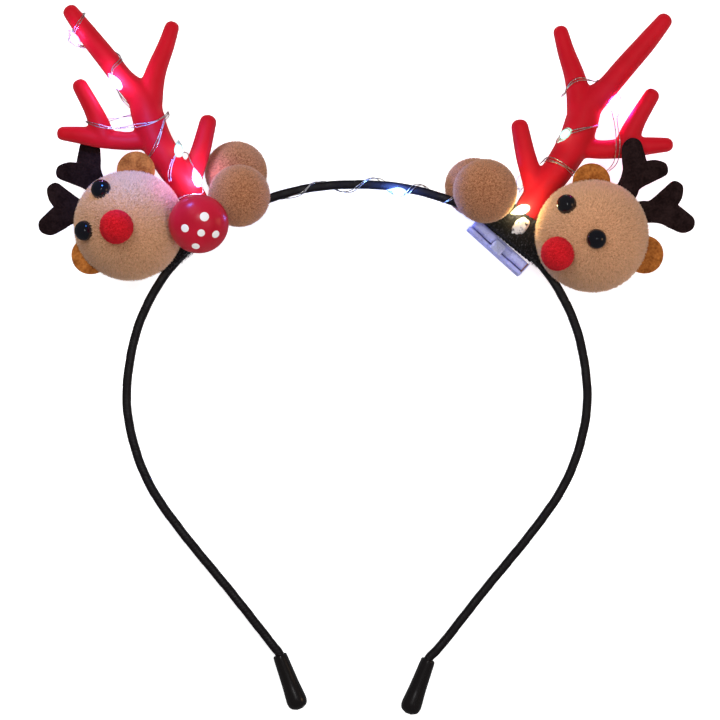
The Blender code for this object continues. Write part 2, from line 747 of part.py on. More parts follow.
def build_headband():
    """Every piece, each clear of its neighbours."""
    _, band_clear = build_band()
    stem_clear = build_toadstool()
    pompom_clear = {name: build_pompom(name) for name in POMPOMS}
    for side in ("left", "right"):
        build_cap(side)
        _, foot_clear = build_antler(side)
        _, head_clear = build_head(side)
        around = [band_clear, foot_clear, head_clear]
        around += [pompom_clear["pompom_{}_{}".format(side, end)] for end in ("front", "back")]
        if side == "left":
            around.append(stem_clear)
        build_pad(side, around)
    glue = ball("glue_blob", GLUE_MIDDLE, GLUE_HALF, GLUE, 12, 8)
    cut(glue, pad_ball("pad_clearance", "right", GAP))
    build_battery_box()
    for row in LIGHTS:
        build_light(*row)


build_headband()
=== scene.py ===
import math

import bmesh
import bpy
import numpy as np
from mathutils import Matrix, Vector


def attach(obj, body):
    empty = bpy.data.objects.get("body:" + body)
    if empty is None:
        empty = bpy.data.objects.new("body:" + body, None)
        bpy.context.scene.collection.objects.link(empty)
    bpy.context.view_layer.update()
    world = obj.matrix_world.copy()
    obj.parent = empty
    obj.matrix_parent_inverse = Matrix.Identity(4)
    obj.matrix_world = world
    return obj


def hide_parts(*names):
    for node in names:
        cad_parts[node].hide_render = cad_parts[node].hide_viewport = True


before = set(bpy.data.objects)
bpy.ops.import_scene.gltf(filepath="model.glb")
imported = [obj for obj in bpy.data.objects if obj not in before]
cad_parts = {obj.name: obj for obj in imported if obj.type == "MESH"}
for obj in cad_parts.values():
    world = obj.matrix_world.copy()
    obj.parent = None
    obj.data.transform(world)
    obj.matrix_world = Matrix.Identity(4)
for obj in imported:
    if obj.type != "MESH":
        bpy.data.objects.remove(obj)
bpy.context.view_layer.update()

MM = 0.001

# The hoop frame, in millimetres: X to the viewer's right, Y to the crown, Z to the viewer
REST = Matrix.Translation((-0.003, -0.010, 0.0121)) @ Matrix.Rotation(math.radians(5.26), 4, "X")
REST_GRID = np.array(REST)

# The picture is square, and its middle looks at this point of the hoop frame
PICTURE_MIDDLE = (1.2, 10.2)
PICTURE_HALF = 360.0
MM_TO_A_PIXEL = 0.3
CAMERA_HIGH = 1150.0
SENSOR = 36.0


def put(name, data):
    """A new object of the scene that holds the data."""
    held = bpy.data.objects.new(name, data)
    bpy.context.scene.collection.objects.link(held)
    return held


def make_camera():
    """A perspective camera straight above the hoop frame's own plane."""
    data = bpy.data.cameras.new("camera")
    data.sensor_width = SENSOR
    data.lens = SENSOR * CAMERA_HIGH / (2 * PICTURE_HALF * MM_TO_A_PIXEL)
    data.clip_start, data.clip_end = 0.01, 100.0
    camera = put("camera", data)
    camera.matrix_world = REST @ Matrix.Translation(Vector((*PICTURE_MIDDLE, CAMERA_HIGH)) * MM)
    bpy.context.scene.camera = camera


make_camera()


def seen(rows):
    """Picture x, picture y and depth to hoop millimetres, along the camera's rays."""
    rows = np.asarray(rows, float)
    scale = MM_TO_A_PIXEL * (1.0 - rows[:, 2] / CAMERA_HIGH)
    x = PICTURE_MIDDLE[0] + (rows[:, 0] - PICTURE_HALF) * scale
    y = PICTURE_MIDDLE[1] + (PICTURE_HALF - rows[:, 1]) * scale
    return np.stack([x, y, rows[:, 2]], axis=1)


def placed(points):
    """Hoop millimetres to the part's metres."""
    return np.asarray(points) * MM @ REST_GRID[:3, :3].T + REST_GRID[:3, 3]


def unit(vectors):
    """The vectors at length one."""
    return vectors / np.maximum(np.linalg.norm(vectors, axis=-1, keepdims=True), 1e-12)


def about_z(angle_deg):
    """The X, Y and Z of a frame turned about Z, as rows."""
    c, s = math.cos(math.radians(angle_deg)), math.sin(math.radians(angle_deg))
    return np.array(((c, s, 0.0), (-s, c, 0.0), (0.0, 0.0, 1.0)))


def on_axis(low, high):
    """Two points on the Z axis."""
    return np.array(((0.0, 0.0, low), (0.0, 0.0, high)))


def through(rows, steps):
    """A Catmull-Rom spline through the rows, with steps points to a stretch."""
    knots = np.array(rows, float)
    padded = np.vstack([2 * knots[0] - knots[1], knots, 2 * knots[-1] - knots[-2]])
    share = np.linspace(0.0, 1.0, steps, endpoint=False)[None, :, None]
    before, here, after, beyond = (padded[k:len(padded) - 3 + k, None] for k in range(4))
    step = 3 * share**2 - 2 * share**3
    leave = share**3 - 2 * share**2 + share
    arrive = share**3 - share**2
    found = here * (1 - step) + after * step + (after - before) / 2 * leave + (beyond - here) / 2 * arrive
    return np.vstack([found.reshape(-1, knots.shape[1]), knots[-1:]])


def evenly(line, spacing):
    """The line's points moved along it to an even spacing."""
    run = np.concatenate([[0.0], np.cumsum(np.linalg.norm(np.diff(line[:, :3], axis=0), axis=1))])
    wanted = np.linspace(0.0, run[-1], max(3, int(round(run[-1] / spacing)) + 1))
    return np.stack([np.interp(wanted, run, column) for column in line.T], axis=1), wanted


def waves(points, pitch, seed):
    """Smooth unevenness from -1 to 1: the mean of nine sine waves with random ways and phases."""
    rng = np.random.default_rng(seed)
    ways = unit(rng.normal(size=(9, 3))) * (2 * math.pi / pitch) * rng.uniform(0.6, 1.5, (9, 1))
    return np.sin(points @ ways.T + rng.uniform(0, 2 * math.pi, 9)).mean(axis=-1) * 1.6


def grid_faces(rows, around):
    """The quads of rows of points that close round, facing out."""
    row = np.arange(rows - 1)[:, None] * around
    here, beside = np.arange(around)[None], (np.arange(around)[None] + 1) % around
    return np.stack([row + here, row + beside, row + around + beside, row + around + here], -1).reshape(-1, 4)


def to_mesh(name, points, *face_sets):
    """A mesh from part-frame points and arrays of faces, each array with one number of corners."""
    mesh = bpy.data.meshes.new(name)
    corners = np.concatenate([faces.ravel() for faces in face_sets]).astype(np.int32)
    sizes = np.concatenate([np.full(len(faces), faces.shape[1]) for faces in face_sets])
    starts = np.concatenate([[0], np.cumsum(sizes)[:-1]]).astype(np.int32)
    mesh.vertices.add(len(points))
    mesh.vertices.foreach_set("co", np.asarray(points, np.float32).ravel())
    mesh.loops.add(len(corners))
    mesh.loops.foreach_set("vertex_index", corners)
    mesh.polygons.add(len(sizes))
    mesh.polygons.foreach_set("loop_start", starts)
    mesh.update(calc_edges=True)
    return mesh


def skin(name, grid, start=None, end=None):
    """The surface through a grid of rows by around points, its ends closed by fans."""
    rows, around = grid.shape[:2]
    points, faces = [grid.reshape(-1, 3)], [grid_faces(rows, around)]
    here, beside = np.arange(around), (np.arange(around) + 1) % around
    count = rows * around
    if start is not None:
        points.append(np.reshape(start, (1, 3)))
        faces.append(np.stack([np.full(around, count), beside, here], axis=1))
        count += 1
    if end is not None:
        last = (rows - 1) * around
        points.append(np.reshape(end, (1, 3)))
        faces.append(np.stack([np.full(around, count), last + here, last + beside], axis=1))
    return to_mesh(name, placed(np.vstack(points)), *faces)


def show(name, mesh, material, replaces=(), body="headband", sharp_deg=None):
    """A piece of the headband that rides on a body and stands for its plain solids."""
    piece = put(name, mesh)
    mesh.materials.clear()
    mesh.materials.append(material)
    mesh.shade_smooth()
    if sharp_deg:
        mesh.set_sharp_from_angle(angle=math.radians(sharp_deg))
    if replaces:
        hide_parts(*replaces)
    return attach(piece, body)


def joined(meshes, name):
    """Several meshes as one."""
    build = bmesh.new()
    for mesh in meshes:
        build.from_mesh(mesh)
        bpy.data.meshes.remove(mesh)
    made = bpy.data.meshes.new(name)
    build.to_mesh(made)
    build.free()
    return made


def melt(piece, voxel, rounds):
    """Makes the piece one even skin, softened in that many rounds."""
    even = piece.modifiers.new("melted together", "REMESH")
    even.mode = "VOXEL"
    even.voxel_size = voxel * MM
    even.use_smooth_shade = True
    soft = piece.modifiers.new("softened", "SMOOTH")
    soft.factor, soft.iterations = 0.5, rounds


def superellipse(around, power=2.0):
    """Cosine and sine raised to 2/power: a circle at 2, a rounded rectangle above it."""
    turn = np.linspace(0.0, 2 * math.pi, around, endpoint=False)
    return tuple(np.sign(wave) * np.abs(wave) ** (2.0 / power) for wave in (np.cos(turn), np.sin(turn)))


def flat_frame(line):
    """Sideways in the hoop plane and upways, for a line that runs about flat in it."""
    along = unit(np.gradient(line[:, :3], axis=0))
    sideways = unit(np.stack([-along[:, 1], along[:, 0], np.zeros(len(along))], axis=1))
    return sideways, np.cross(along, sideways)


def swept(line, wide, deep, around, power=2.0):
    """A superellipse profile carried along a line: line + wide cos(t) sideways + deep sin(t) upways."""
    sideways, upways = flat_frame(line)
    c, s = superellipse(around, power)
    return (line[:, None, :3] + (wide * c)[..., None] * sideways[:, None]
            + (deep * s)[..., None] * upways[:, None])


def turned(profile, around):
    """A profile of radius and height, from the bottom up, turned about Z."""
    c, s = superellipse(around)
    r, z = np.array(profile, float).T
    return np.stack([np.outer(r, c), np.outer(r, s), np.repeat(z[:, None], around, axis=1)], axis=-1)


def ball_grid(rows, around):
    """Unit directions from the south pole to the north pole, without the poles."""
    lift = np.linspace(-math.pi / 2, math.pi / 2, rows + 2)[1:-1]
    return turned(np.stack([np.cos(lift), np.sin(lift)], axis=1), around)


# Materials
def finish(name, colour, roughness, **sockets):
    """A Principled material; sockets are the shader's own, by name with _ for a space."""
    made = bpy.data.materials.new(name)
    made.use_nodes = True
    shader = made.node_tree.nodes["Principled BSDF"]
    shader.inputs["Base Color"].default_value = (*colour, 1.0)
    shader.inputs["Roughness"].default_value = roughness
    for socket, value in sockets.items():
        held = shader.inputs[socket.replace("_", " ")]
        held.default_value = (*value, 1.0) if held.type == "RGBA" else value
    made.diffuse_color = (*colour, 1.0)
    return made


def node(made, kind, inputs=(), **values):
    """A node with its plain values set and its inputs linked or set, by name or number."""
    new = made.node_tree.nodes.new("ShaderNode" + kind)
    for key, value in values.items():
        setattr(new, key, value)
    for key, value in dict(inputs).items():
        if isinstance(value, bpy.types.NodeSocket):
            made.node_tree.links.new(value, new.inputs[key])
        else:
            new.inputs[key].default_value = value
    return new


def spot(made, stretch=(1.0, 1.0, 1.0), turn=(0.0, 0.0, 0.0), source="Object"):
    """The piece's own coordinates, stretched and turned."""
    coords = node(made, "TexCoord").outputs[source]
    return node(made, "Mapping", {"Vector": coords, "Scale": stretch, "Rotation": turn}).outputs[0]


def grain(made, scale, detail=3.0, stretch=(1.0, 1.0, 1.0)):
    """Noise of that many features to a metre."""
    inputs = {"Vector": spot(made, stretch), "Scale": scale, "Detail": detail}
    return node(made, "TexNoise", inputs).outputs[0]


def spread(made, value, low, high, out_low=0.0, out_high=1.0):
    """The value from low..high brought to out_low..out_high."""
    return node(made, "MapRange", {0: value, 1: low, 2: high, 3: out_low, 4: out_high}).outputs[0]


def between(made, share, first, second):
    """The colour between two colours, or sockets, at a share."""
    first, second = (c if isinstance(c, bpy.types.NodeSocket) else (*c, 1.0) for c in (first, second))
    return node(made, "Mix", {0: share, 6: first, 7: second}, data_type="RGBA").outputs[2]


def sums(made, first, second, operation="ADD"):
    """Two values added, multiplied or compared."""
    return node(made, "Math", {0: first, 1: second}, operation=operation).outputs[0]


def paint(made, value, socket="Base Color"):
    """Links a colour, or the value of another socket, to the shader."""
    made.node_tree.links.new(value, made.node_tree.nodes["Principled BSDF"].inputs[socket])


def mottle(made, scale, detail, low, high, first, second):
    """Paints the first colour where the noise is at low and the second where it is at high."""
    paint(made, between(made, spread(made, grain(made, scale, detail), low, high), first, second))


def emboss(made, height, distance_mm, strength=1.0):
    """Bump of the height at that depth."""
    bump = node(made, "Bump", {"Height": height, "Strength": strength, "Distance": distance_mm * MM})
    paint(made, bump.outputs[0], "Normal")


def worn(made, scale, smooth, rough):
    """A roughness that noise moves between two values."""
    paint(made, spread(made, grain(made, scale), 0.3, 0.7, smooth, rough), "Roughness")


def pile_finish(name, root, tip, sheen, frost):
    """Plush: painted shade darkens a fibre towards its root, its own colour is at the tip, mottled by the
    bundle, frosted at grazing.
    """
    made = finish(name, tip, 0.95, Sheen_Weight=sheen, Sheen_Roughness=0.55, Sheen_Tint=frost,
                  Specular_IOR_Level=0.1)
    # The attribute paints shade: low at a fibre's root and on the core, high at its tip, spread at random
    # from fibre to fibre.
    root_shade_and_tone = node(made, "Attribute", attribute_name="root_shade_and_tone").outputs["Fac"]
    patches = spread(made, grain(made, 1500.0, 4.0), 0.35, 0.65, -0.26, 0.26)
    paint(made, between(made, sums(made, root_shade_and_tone, patches), root, tip))
    return made


def ribbon_finish():
    """Black satin ribbon: fine ribs across its length, which runs in a helix round the strip."""
    made = finish("ribbon", (0.0042, 0.0028, 0.0036), 0.42, Specular_IOR_Level=0.28)
    ribs = node(made, "TexWave", {"Vector": spot(made, (1.0, 1.0, 1.0), source="UV"), "Scale": 3.2,
                                  "Distortion": 0.6, "Detail": 1.0}, wave_type="BANDS",
                bands_direction="DIAGONAL").outputs[1]
    emboss(made, sums(made, ribs, grain(made, 1800.0)), 0.05, 0.5)
    worn(made, 300.0, 0.34, 0.52)
    return made


def antler_finish():
    """Satin red moulding with a soft-touch grain, a little deeper in colour in places."""
    made = finish("red_plastic", (0.50, 0.005, 0.014), 0.5, Specular_IOR_Level=0.2)
    mottle(made, 130.0, 3.0, 0.3, 0.7, (0.46, 0.004, 0.011), (0.53, 0.006, 0.016))
    emboss(made, grain(made, 2600.0, 4.0), 0.06, 0.35)
    return made


def felt_finish(name, dark, light, sheen):
    """Pressed felt: a fine tangle in colour and height."""
    made = finish(name, light, 0.95, Sheen_Weight=sheen, Sheen_Roughness=0.7, Sheen_Tint=light,
                  Specular_IOR_Level=0.1)
    tangle = grain(made, 1500.0, 6.0)
    paint(made, between(made, spread(made, sums(made, tangle, grain(made, 350.0)), 0.75, 1.25), dark, light))
    emboss(made, tangle, 0.25, 0.8)
    return made


def knit_finish():
    """Black wool: ribs and stitches are in the shape, and a fine hair is on them."""
    made = finish("knit", (0.0055, 0.005, 0.006), 0.9, Sheen_Weight=0.06, Sheen_Roughness=0.5,
                  Sheen_Tint=(0.6, 0.6, 0.7), Specular_IOR_Level=0.1)
    # The paler specks are partly pale fuzz and partly painted sheen on the hairs.
    mottle(made, 2200.0, 5.0, 0.52, 0.72, (0.0045, 0.004, 0.005), (0.06, 0.055, 0.06))
    emboss(made, grain(made, 3000.0, 5.0), 0.15, 0.8)
    return made


def milky_finish(name, colour):
    """Milky plastic that light goes a little way into."""
    made = finish(name, colour, 0.28, Subsurface_Weight=0.5, Subsurface_Radius=(0.9, 0.9, 1.0),
                  Subsurface_Scale=0.0015, Transmission_Weight=0.15)
    mottle(made, 190.0, 2.0, 0.3, 0.7, tuple(0.82 * part for part in colour), colour)
    worn(made, 900.0, 0.22, 0.4)
    return made


def lit_finish(name, colour, strength):
    """Something that glows, such as a light's heart."""
    return finish(name, colour, 0.3, Emission_Color=colour, Emission_Strength=strength)


def drop_finish(name, glow_tint, rim, glow, strength):
    """A clear resin drop, lit from within; its pale tint is painted glow of its light, and its deeper colour
    towards the rim, where it turns from view, is painted shade.
    """
    made = finish(name, glow_tint, 0.08, Transmission_Weight=0.9, IOR=1.45, Emission_Color=glow,
                  Emission_Strength=strength)
    # Painted shade: the colour runs from the glow tint where the drop faces the view to the deeper rim colour
    # where it turns away.
    facing = node(made, "LayerWeight", {"Blend": 0.45}).outputs["Facing"]
    paint(made, between(made, spread(made, facing, 0.25, 0.85), glow_tint, rim))
    emboss(made, grain(made, 420.0, 1.0), 0.12, 0.5)
    return made


RIBBON = ribbon_finish()
ANTLER_RED = antler_finish()
EAR_FELT = felt_finish("ear_felt", (0.20, 0.055, 0.010), (0.48, 0.165, 0.035), 0.12)
DARK_FELT = felt_finish("dark_felt", (0.007, 0.0032, 0.0032), (0.021, 0.011, 0.011), 0.02)
FROST = (0.92, 0.78, 0.72)
# In each pile the first colour is painted shade at the fibres' roots, the second the fibres' own colour at
# the tip.
HEAD_PILE = pile_finish("plush", (0.43, 0.215, 0.108), (0.86, 0.50, 0.29), 0.42, FROST)
POMPOM_PILE = pile_finish("pompom_yarn", (0.21, 0.080, 0.035), (0.70, 0.325, 0.165), 0.42, FROST)
NOSE_PILE = pile_finish("nose_flock", (0.42, 0.006, 0.010), (0.88, 0.026, 0.044), 0.03, (1.0, 0.5, 0.5))
KNIT = knit_finish()
RUBBER = finish("rubber", (0.006, 0.0045, 0.0045), 0.24, Specular_IOR_Level=0.4)
emboss(RUBBER, grain(RUBBER, 260.0, 2.0), 0.12, 0.25)
BEAD = finish("bead", (0.003, 0.003, 0.006), 0.07)
emboss(BEAD, grain(BEAD, 200.0, 1.0), 0.05, 0.1)
LACQUER = finish("toadstool_red", (0.46, 0.005, 0.022), 0.28, Specular_IOR_Level=0.4)
mottle(LACQUER, 150.0, 3.0, 0.3, 0.7, (0.40, 0.003, 0.016), (0.50, 0.009, 0.030))
emboss(LACQUER, grain(LACQUER, 340.0, 2.0), 0.1, 0.2)
WHITE_PAINT = finish("white_paint", (0.86, 0.84, 0.82), 0.4)
emboss(WHITE_PAINT, grain(WHITE_PAINT, 900.0), 0.06, 0.4)
STEM = finish("toadstool_stem", (0.80, 0.77, 0.70), 0.7)
emboss(STEM, grain(STEM, 700.0, 3.0, (1.0, 1.0, 0.2)), 0.12, 0.5)
GLUE = finish("hot_glue", (0.80, 0.76, 0.74), 0.33, Subsurface_Weight=0.4, Subsurface_Radius=(1.0, 0.9, 0.8),
              Subsurface_Scale=0.001)
mottle(GLUE, 900.0, 3.0, 0.53, 0.66, (0.82, 0.78, 0.76), (0.05, 0.04, 0.045))
emboss(GLUE, grain(GLUE, 800.0, 2.0), 0.3, 0.6)
# The blue in these two colours is painted light: the string's blue glow on the milky plastic of the case and
# its switch.
BLUE_LIT_CASE = milky_finish("milky_plastic", (0.50, 0.51, 0.95))
BLUE_LIT_SWITCH = milky_finish("switch_plastic", (0.56, 0.58, 0.92))
COPPER = finish("contact_copper", (0.26, 0.10, 0.06), 0.45, Metallic=0.4)
emboss(COPPER, grain(COPPER, 900.0), 0.05, 0.4)
WIRE = finish("silver_wire", (0.80, 0.77, 0.74), 0.3, Metallic=1.0)
worn(WIRE, 900.0, 0.2, 0.42)

# The band: a steel strip wound in ribbon
BAND_HALF_THICK = 1.25
BAND_HALF_DEEP = 2.5
BAND_POWER = 4.5
HOOP_MIDDLE_X = 0.3
HOOP_KNOTS = [
    # half_width, height
    (0, 62.85), (13.5, 61.9), (26.4, 58.6), (41, 52.2), (53.1, 41.1), (60.9, 30.6), (66.6, 17.1),
    (69.1, 0), (67.1, -14.4), (61.8, -27.9), (52.5, -41.4), (37.8, -59.4), (25.6, -74.9),
]
CAP_MOUTH = {"left": (-22.9, -78.3), "right": (21.7, -79.7)}
CAP_ANGLE_DEG = 69.5
CAP_LONG = 17.2
CAP_SOCKET = 7.0
CAP_SECTIONS = [
    # share, half_width, half_depth
    (0.00, 1.95, 3.15), (0.04, 2.15, 3.35), (0.30, 2.40, 3.30), (0.55, 2.65, 3.30), (0.74, 2.95, 3.50),
    (0.86, 3.05, 3.50), (0.95, 2.50, 2.90), (1.00, 1.05, 1.40),
]
WIND_PITCH = 8.5
WIND_STEP = 0.09
WIND_RISE = 0.06
TURN_TO_UV = 1.6


def cap_axis(side):
    """The way from a cap's mouth to its tip."""
    sign = -1.0 if side == "left" else 1.0
    angle = math.radians(CAP_ANGLE_DEG)
    return np.array((-sign * math.cos(angle), -math.sin(angle)))


def hoop_line():
    """The strip's centreline, from the left end over the crown to the right end, at even spacing."""
    def half(side):
        sign = -1.0 if side == "left" else 1.0
        mouth = np.array(CAP_MOUTH[side])
        down = [(HOOP_MIDDLE_X + sign * wide, high) for wide, high in HOOP_KNOTS[1:]]
        return down + [tuple(mouth + along * cap_axis(side)) for along in (-0.6, 3.0, CAP_SOCKET - 0.3)]

    knots = half("left")[::-1] + [(HOOP_MIDDLE_X, HOOP_KNOTS[0][1])] + half("right")
    flat = through(knots, 12)
    return evenly(np.column_stack([flat, np.zeros(len(flat))]), 0.5)


HOOP, HOOP_RUN = hoop_line()


def build_band():
    """The strip, with each turn of ribbon a step above the last: the step fades with the turn's phase."""
    around = 32
    phase = (HOOP_RUN[:, None] / WIND_PITCH + np.arange(around)[None] / around) % 1.0
    lift = WIND_STEP * (1.0 - phase) * np.minimum(phase / WIND_RISE, 1.0)
    grid = swept(HOOP, BAND_HALF_THICK + lift, BAND_HALF_DEEP + lift, around, BAND_POWER)
    mesh = skin("band", grid, HOOP[0], HOOP[-1])
    layer = mesh.uv_layers.new(name="ribbon")
    corners = np.zeros(len(mesh.loops), np.int32)
    mesh.loops.foreach_get("vertex_index", corners)
    corners = np.minimum(corners, grid[..., 0].size - 1)
    across = corners % around / around
    along = HOOP_RUN[corners // around] / WIND_PITCH
    layer.data.foreach_set("uv", (np.stack([across, along], axis=1) * TURN_TO_UV).astype(np.float32).ravel())
    show("ribbon_wound_band", mesh, RIBBON, ["band"])


def build_cap(side):
    """A rubber bulb: oval rows from inside its socket, over the lip, to its round tip."""
    axis = np.array((*cap_axis(side), 0.0))
    mouth = np.array((*CAP_MOUTH[side], 0.0))
    outer = through(CAP_SECTIONS, 6)
    sheath = [(CAP_SOCKET / CAP_LONG, 1.45, 2.75), (0.02, 1.45, 2.75), (0.0, 1.5, 2.8), (-0.006, 1.7, 2.95)]
    rows = np.vstack([sheath, outer])
    c, s = superellipse(40, 2.3)
    across = np.cross(np.array((0.0, 0.0, 1.0)), axis)
    middle = mouth + axis * rows[:, :1] * CAP_LONG
    grid = (middle[:, None] + (rows[:, 1:2] * c)[..., None] * across
            + (rows[:, 2:] * s)[..., None] * np.cross(axis, across))
    mesh = skin("cap", grid, middle[0], middle[-1] + axis * 0.12)
    show("rubber_cap_" + side, mesh, RUBBER, ["end_cap_" + side])


# Red moulded antlers
ANTLER_LIMBS = {
    # x, y, z, half_width from the antler's foot
    "beam": [
        (2.1, -4.6, 0, 3.7), (0, 0, 0, 3.9), (-6.6, 9.3, 0, 4.4), (-11.7, 18.3, 0, 4.8),
        (-13.7, 24.9, 0, 4.8), (-15.4, 29.8, 0, 4.4), (-20.6, 35, 0.3, 3.3), (-25.5, 41.2, 0.8, 3.15),
        (-31.6, 48.8, 1.2, 2.85), (-36.5, 55.3, 1.5, 2.2),
    ],
    "inner_tine": [
        (-13.2, 26, 0, 3.9), (-12.3, 33, 0, 3.5), (-10.8, 38.6, -0.3, 2.95), (-8.2, 45.3, -0.8, 2.4),
        (-6.4, 50.9, -1, 2),
    ],
    "side_branch": [
        (-11.5, 17.2, 0, 3), (-16.2, 17, 0, 2.8), (-20.4, 16.8, 0.2, 2.65), (-27.9, 17.6, 0.6, 2.8),
        (-33, 18.4, 0.8, 2.5), (-39, 19, 1, 1.85),
    ],
    "side_tine": [
        (-27, 18.5, 0.6, 3.3), (-28.2, 22, 0.7, 3.1), (-30, 26.2, 0.9, 2.55), (-33.8, 33.2, 1.3, 2.1),
    ],
    "spur": [
        (-1.4, 1.6, 0, 3.2), (-0.2, 6.5, 0, 3.2), (2.4, 14.1, 0.3, 2.85), (4.5, 22.3, 0.6, 2.4),
    ],
}
ANTLER_FLAT = 0.86
ANTLER_PLACES = {
    # foot x, foot y, mirror, turn_deg, size
    "left": (-48.9, 59.1, 1.0, 0.0, 1.0),
    "right": (52.7, 57.1, -1.0, -2.5, 1.019),
}
ANTLER_VOXEL = 0.42
ANTLER_SOFTENING = 14
# What the softening takes off is given back: so much to every limb, and more to one that is thin
GIVEN_BACK = 0.12
GIVEN_TO_THIN = 0.18
THIN_BELOW, THIN_SPAN = 3.2, 1.2


def limb_line(side, limb):
    """A limb's stations in the hoop frame, at even spacing, with a round end at both ends."""
    foot_x, foot_y, mirror, turn_deg, size = ANTLER_PLACES[side]
    rows, _ = evenly(through(ANTLER_LIMBS[limb], 8), 0.6)
    turn = math.radians(turn_deg)
    x, y = rows[:, 0] * mirror, rows[:, 1]
    flat = np.column_stack([foot_x + size * (x * math.cos(turn) - y * math.sin(turn)),
                            foot_y + size * (x * math.sin(turn) + y * math.cos(turn)),
                            rows[:, 2] * size, rows[:, 3] * size])
    angle = np.radians(np.linspace(0.0, 84.0, 9))[1:, None]

    def round_end(last, before):
        way = unit((last - before)[:3])
        return np.hstack([last[:3] + way * last[3] * np.sin(angle), last[3] * np.cos(angle)])

    return np.vstack([round_end(flat[0], flat[1])[::-1], flat, round_end(flat[-1], flat[-2])])


LIMBS = {side: {limb: limb_line(side, limb) for limb in ANTLER_LIMBS} for side in ANTLER_PLACES}


def build_antler(side):
    """Round tubes with the limb's half widths, melted into one skin and softened at the forks."""
    tubes = []
    for limb, rows in LIMBS[side].items():
        wide = rows[:, 3:]
        given = GIVEN_BACK + GIVEN_TO_THIN * np.clip((THIN_BELOW - wide) / THIN_SPAN, 0.0, 1.0)
        grid = swept(rows, wide + given, wide * ANTLER_FLAT + given, 28)
        tubes.append(skin(limb, grid, rows[0, :3], rows[-1, :3]))
    piece = show("moulded_antler_" + side, joined(tubes, "antler"), ANTLER_RED,
                 ["antler_" + side])
    melt(piece, ANTLER_VOXEL, ANTLER_SOFTENING)


# Plush heads
HEADS = {
    # centre x, y, z, radius
    "left": (-67.6, 50.3, 7.4, 16.5),
    "right": (70.2, 47.2, 8.3, 16.9),
}
FACES = {
    # x, y from the head's centre, as seen from the front
    "eye_left_top": (-7.7, 10.3), "eye_left_low": (-12.6, -1.9), "nose_left": (-2.7, -1.0),
    "eye_right_top": (-8.1, 8.9), "eye_right_low": (0.4, -1.5), "nose_right": (-10.8, -5.7),
}
EYE_R = 3.0
EYE_HALF_DEEP = EYE_R * 0.97
NOSE_R = 5.0
NOSE_PROUD = 1.2
EARS = {
    # x, y, z from the head's centre
    "ear_left_top": (2.0, 16.4, 0.0), "ear_left_low": (-11.5, -8.9, 0.0),
    "ear_right_top": (-0.1, 15.9, 0.5), "ear_right_low": (15.7, -5.6, 0.0),
}
EAR_R = 5.7
EAR_HALF_THICK = 0.75
POMPOMS = {
    # centre x, y, z, radius
    "pompom_left_front": (-34.7, 58.9, 11.6, 9.2), "pompom_left_back": (-36.3, 66.9, -8.9, 9.4),
    "pompom_right_front": (38.4, 60.4, 11.0, 9.5), "pompom_right_back": (35.7, 62.5, -9.1, 8.8),
}


def even_directions(count):
    """Directions spread evenly over a ball, on a golden spiral."""
    k = np.arange(count) + 0.5
    z = 1.0 - 2.0 * k / count
    turn = math.pi * (1 + 5**0.5) * k
    r = np.sqrt(1.0 - z**2)
    return np.stack([r * np.cos(turn), r * np.sin(turn), z], axis=1)


def with_root_shade_and_tone(mesh, root_shade_and_tone):
    """Keeps each point's value of painted root shade, with its random spread, which the material reads."""
    mesh.attributes.new("root_shade_and_tone", "FLOAT", "POINT").data.foreach_set("value", root_shade_and_tone.astype(np.float32))
    return mesh


def fibres(name, roots, out, long, wide, lean, seed):
    """Pile: each fibre is three root points round a circle and a tip at root + long out + lean sideways."""
    rng = np.random.default_rng(seed)
    count = len(roots)
    side = rng.normal(size=(count, 3))
    side = unit(side - (side * out).sum(1, keepdims=True) * out)
    across = np.cross(out, side)
    length = long * rng.uniform(0.6, 1.1, (count, 1))
    turn = np.radians((0.0, 120.0, 240.0))
    c, s = np.cos(turn)[None, :, None], np.sin(turn)[None, :, None]
    ring = (c * side[:, None] + s * across[:, None]) * wide
    corners = (roots - out * 0.3)[:, None] + ring
    tips = roots + out * length + side * length * lean * rng.uniform(0.2, 1.0, (count, 1))
    points = np.concatenate([corners, tips[:, None]], axis=1).reshape(-1, 3)
    first = np.arange(count)[:, None] * 4
    faces = np.concatenate([first + np.array(row) for row in ((0, 1, 3), (1, 2, 3), (2, 0, 3))])
    # Low values at the root points are painted shade at a fibre's foot; the random spread is each fibre's own
    # variation.
    root_shade_and_tone = np.column_stack([np.repeat(rng.uniform(0.15, 0.45, (count, 1)), 3, axis=1),
                            rng.uniform(0.65, 1.1, count)])
    return with_root_shade_and_tone(to_mesh(name, placed(points), faces), root_shade_and_tone.ravel())


LUMP = 0.013
PLUSH = {
    # material, slot, fibre length and width, fibres to a square millimetre, seed, inset of the core
    "head": (HEAD_PILE, "plush", 1.05, 0.19, 10.0, 11, 0.75),
    "nose": (NOSE_PILE, "nose_plush", 0.55, 0.13, 20.0, 23, 0.35),
    "pompom": (POMPOM_PILE, "pompom", 0.65, 0.15, 14.0, 31, 0.42),
}


def plush_ball(name, place, kind):
    """A ball with soft unevenness, radius + waves, and its fibres standing on it."""
    pile, slot, long, wide, density, seed, inset = PLUSH[kind]
    *centre, radius = place
    centre = np.array(centre)
    core = radius - inset
    grid = ball_grid(46, 96)
    lumps = LUMP * radius * waves(grid, 1.4, seed)
    mesh = skin(name, centre + grid * (core + lumps)[..., None], *(centre + on_axis(-core, core)))
    # The core gets a low value, so it takes the dark root colour: painted shade between the fibres.
    with_root_shade_and_tone(mesh, np.full(len(mesh.vertices), 0.22))
    body = show(name + "_core", mesh, pile, [name])
    out = even_directions(int(4 * math.pi * radius**2 * density))
    out = unit(out + np.random.default_rng(seed).normal(0.0, 0.006, out.shape))
    roots = centre + out * (core + LUMP * radius * waves(out, 1.4, seed))[:, None]
    show(name + "_pile", fibres(name, roots, out, long, wide, 0.75, seed), pile)


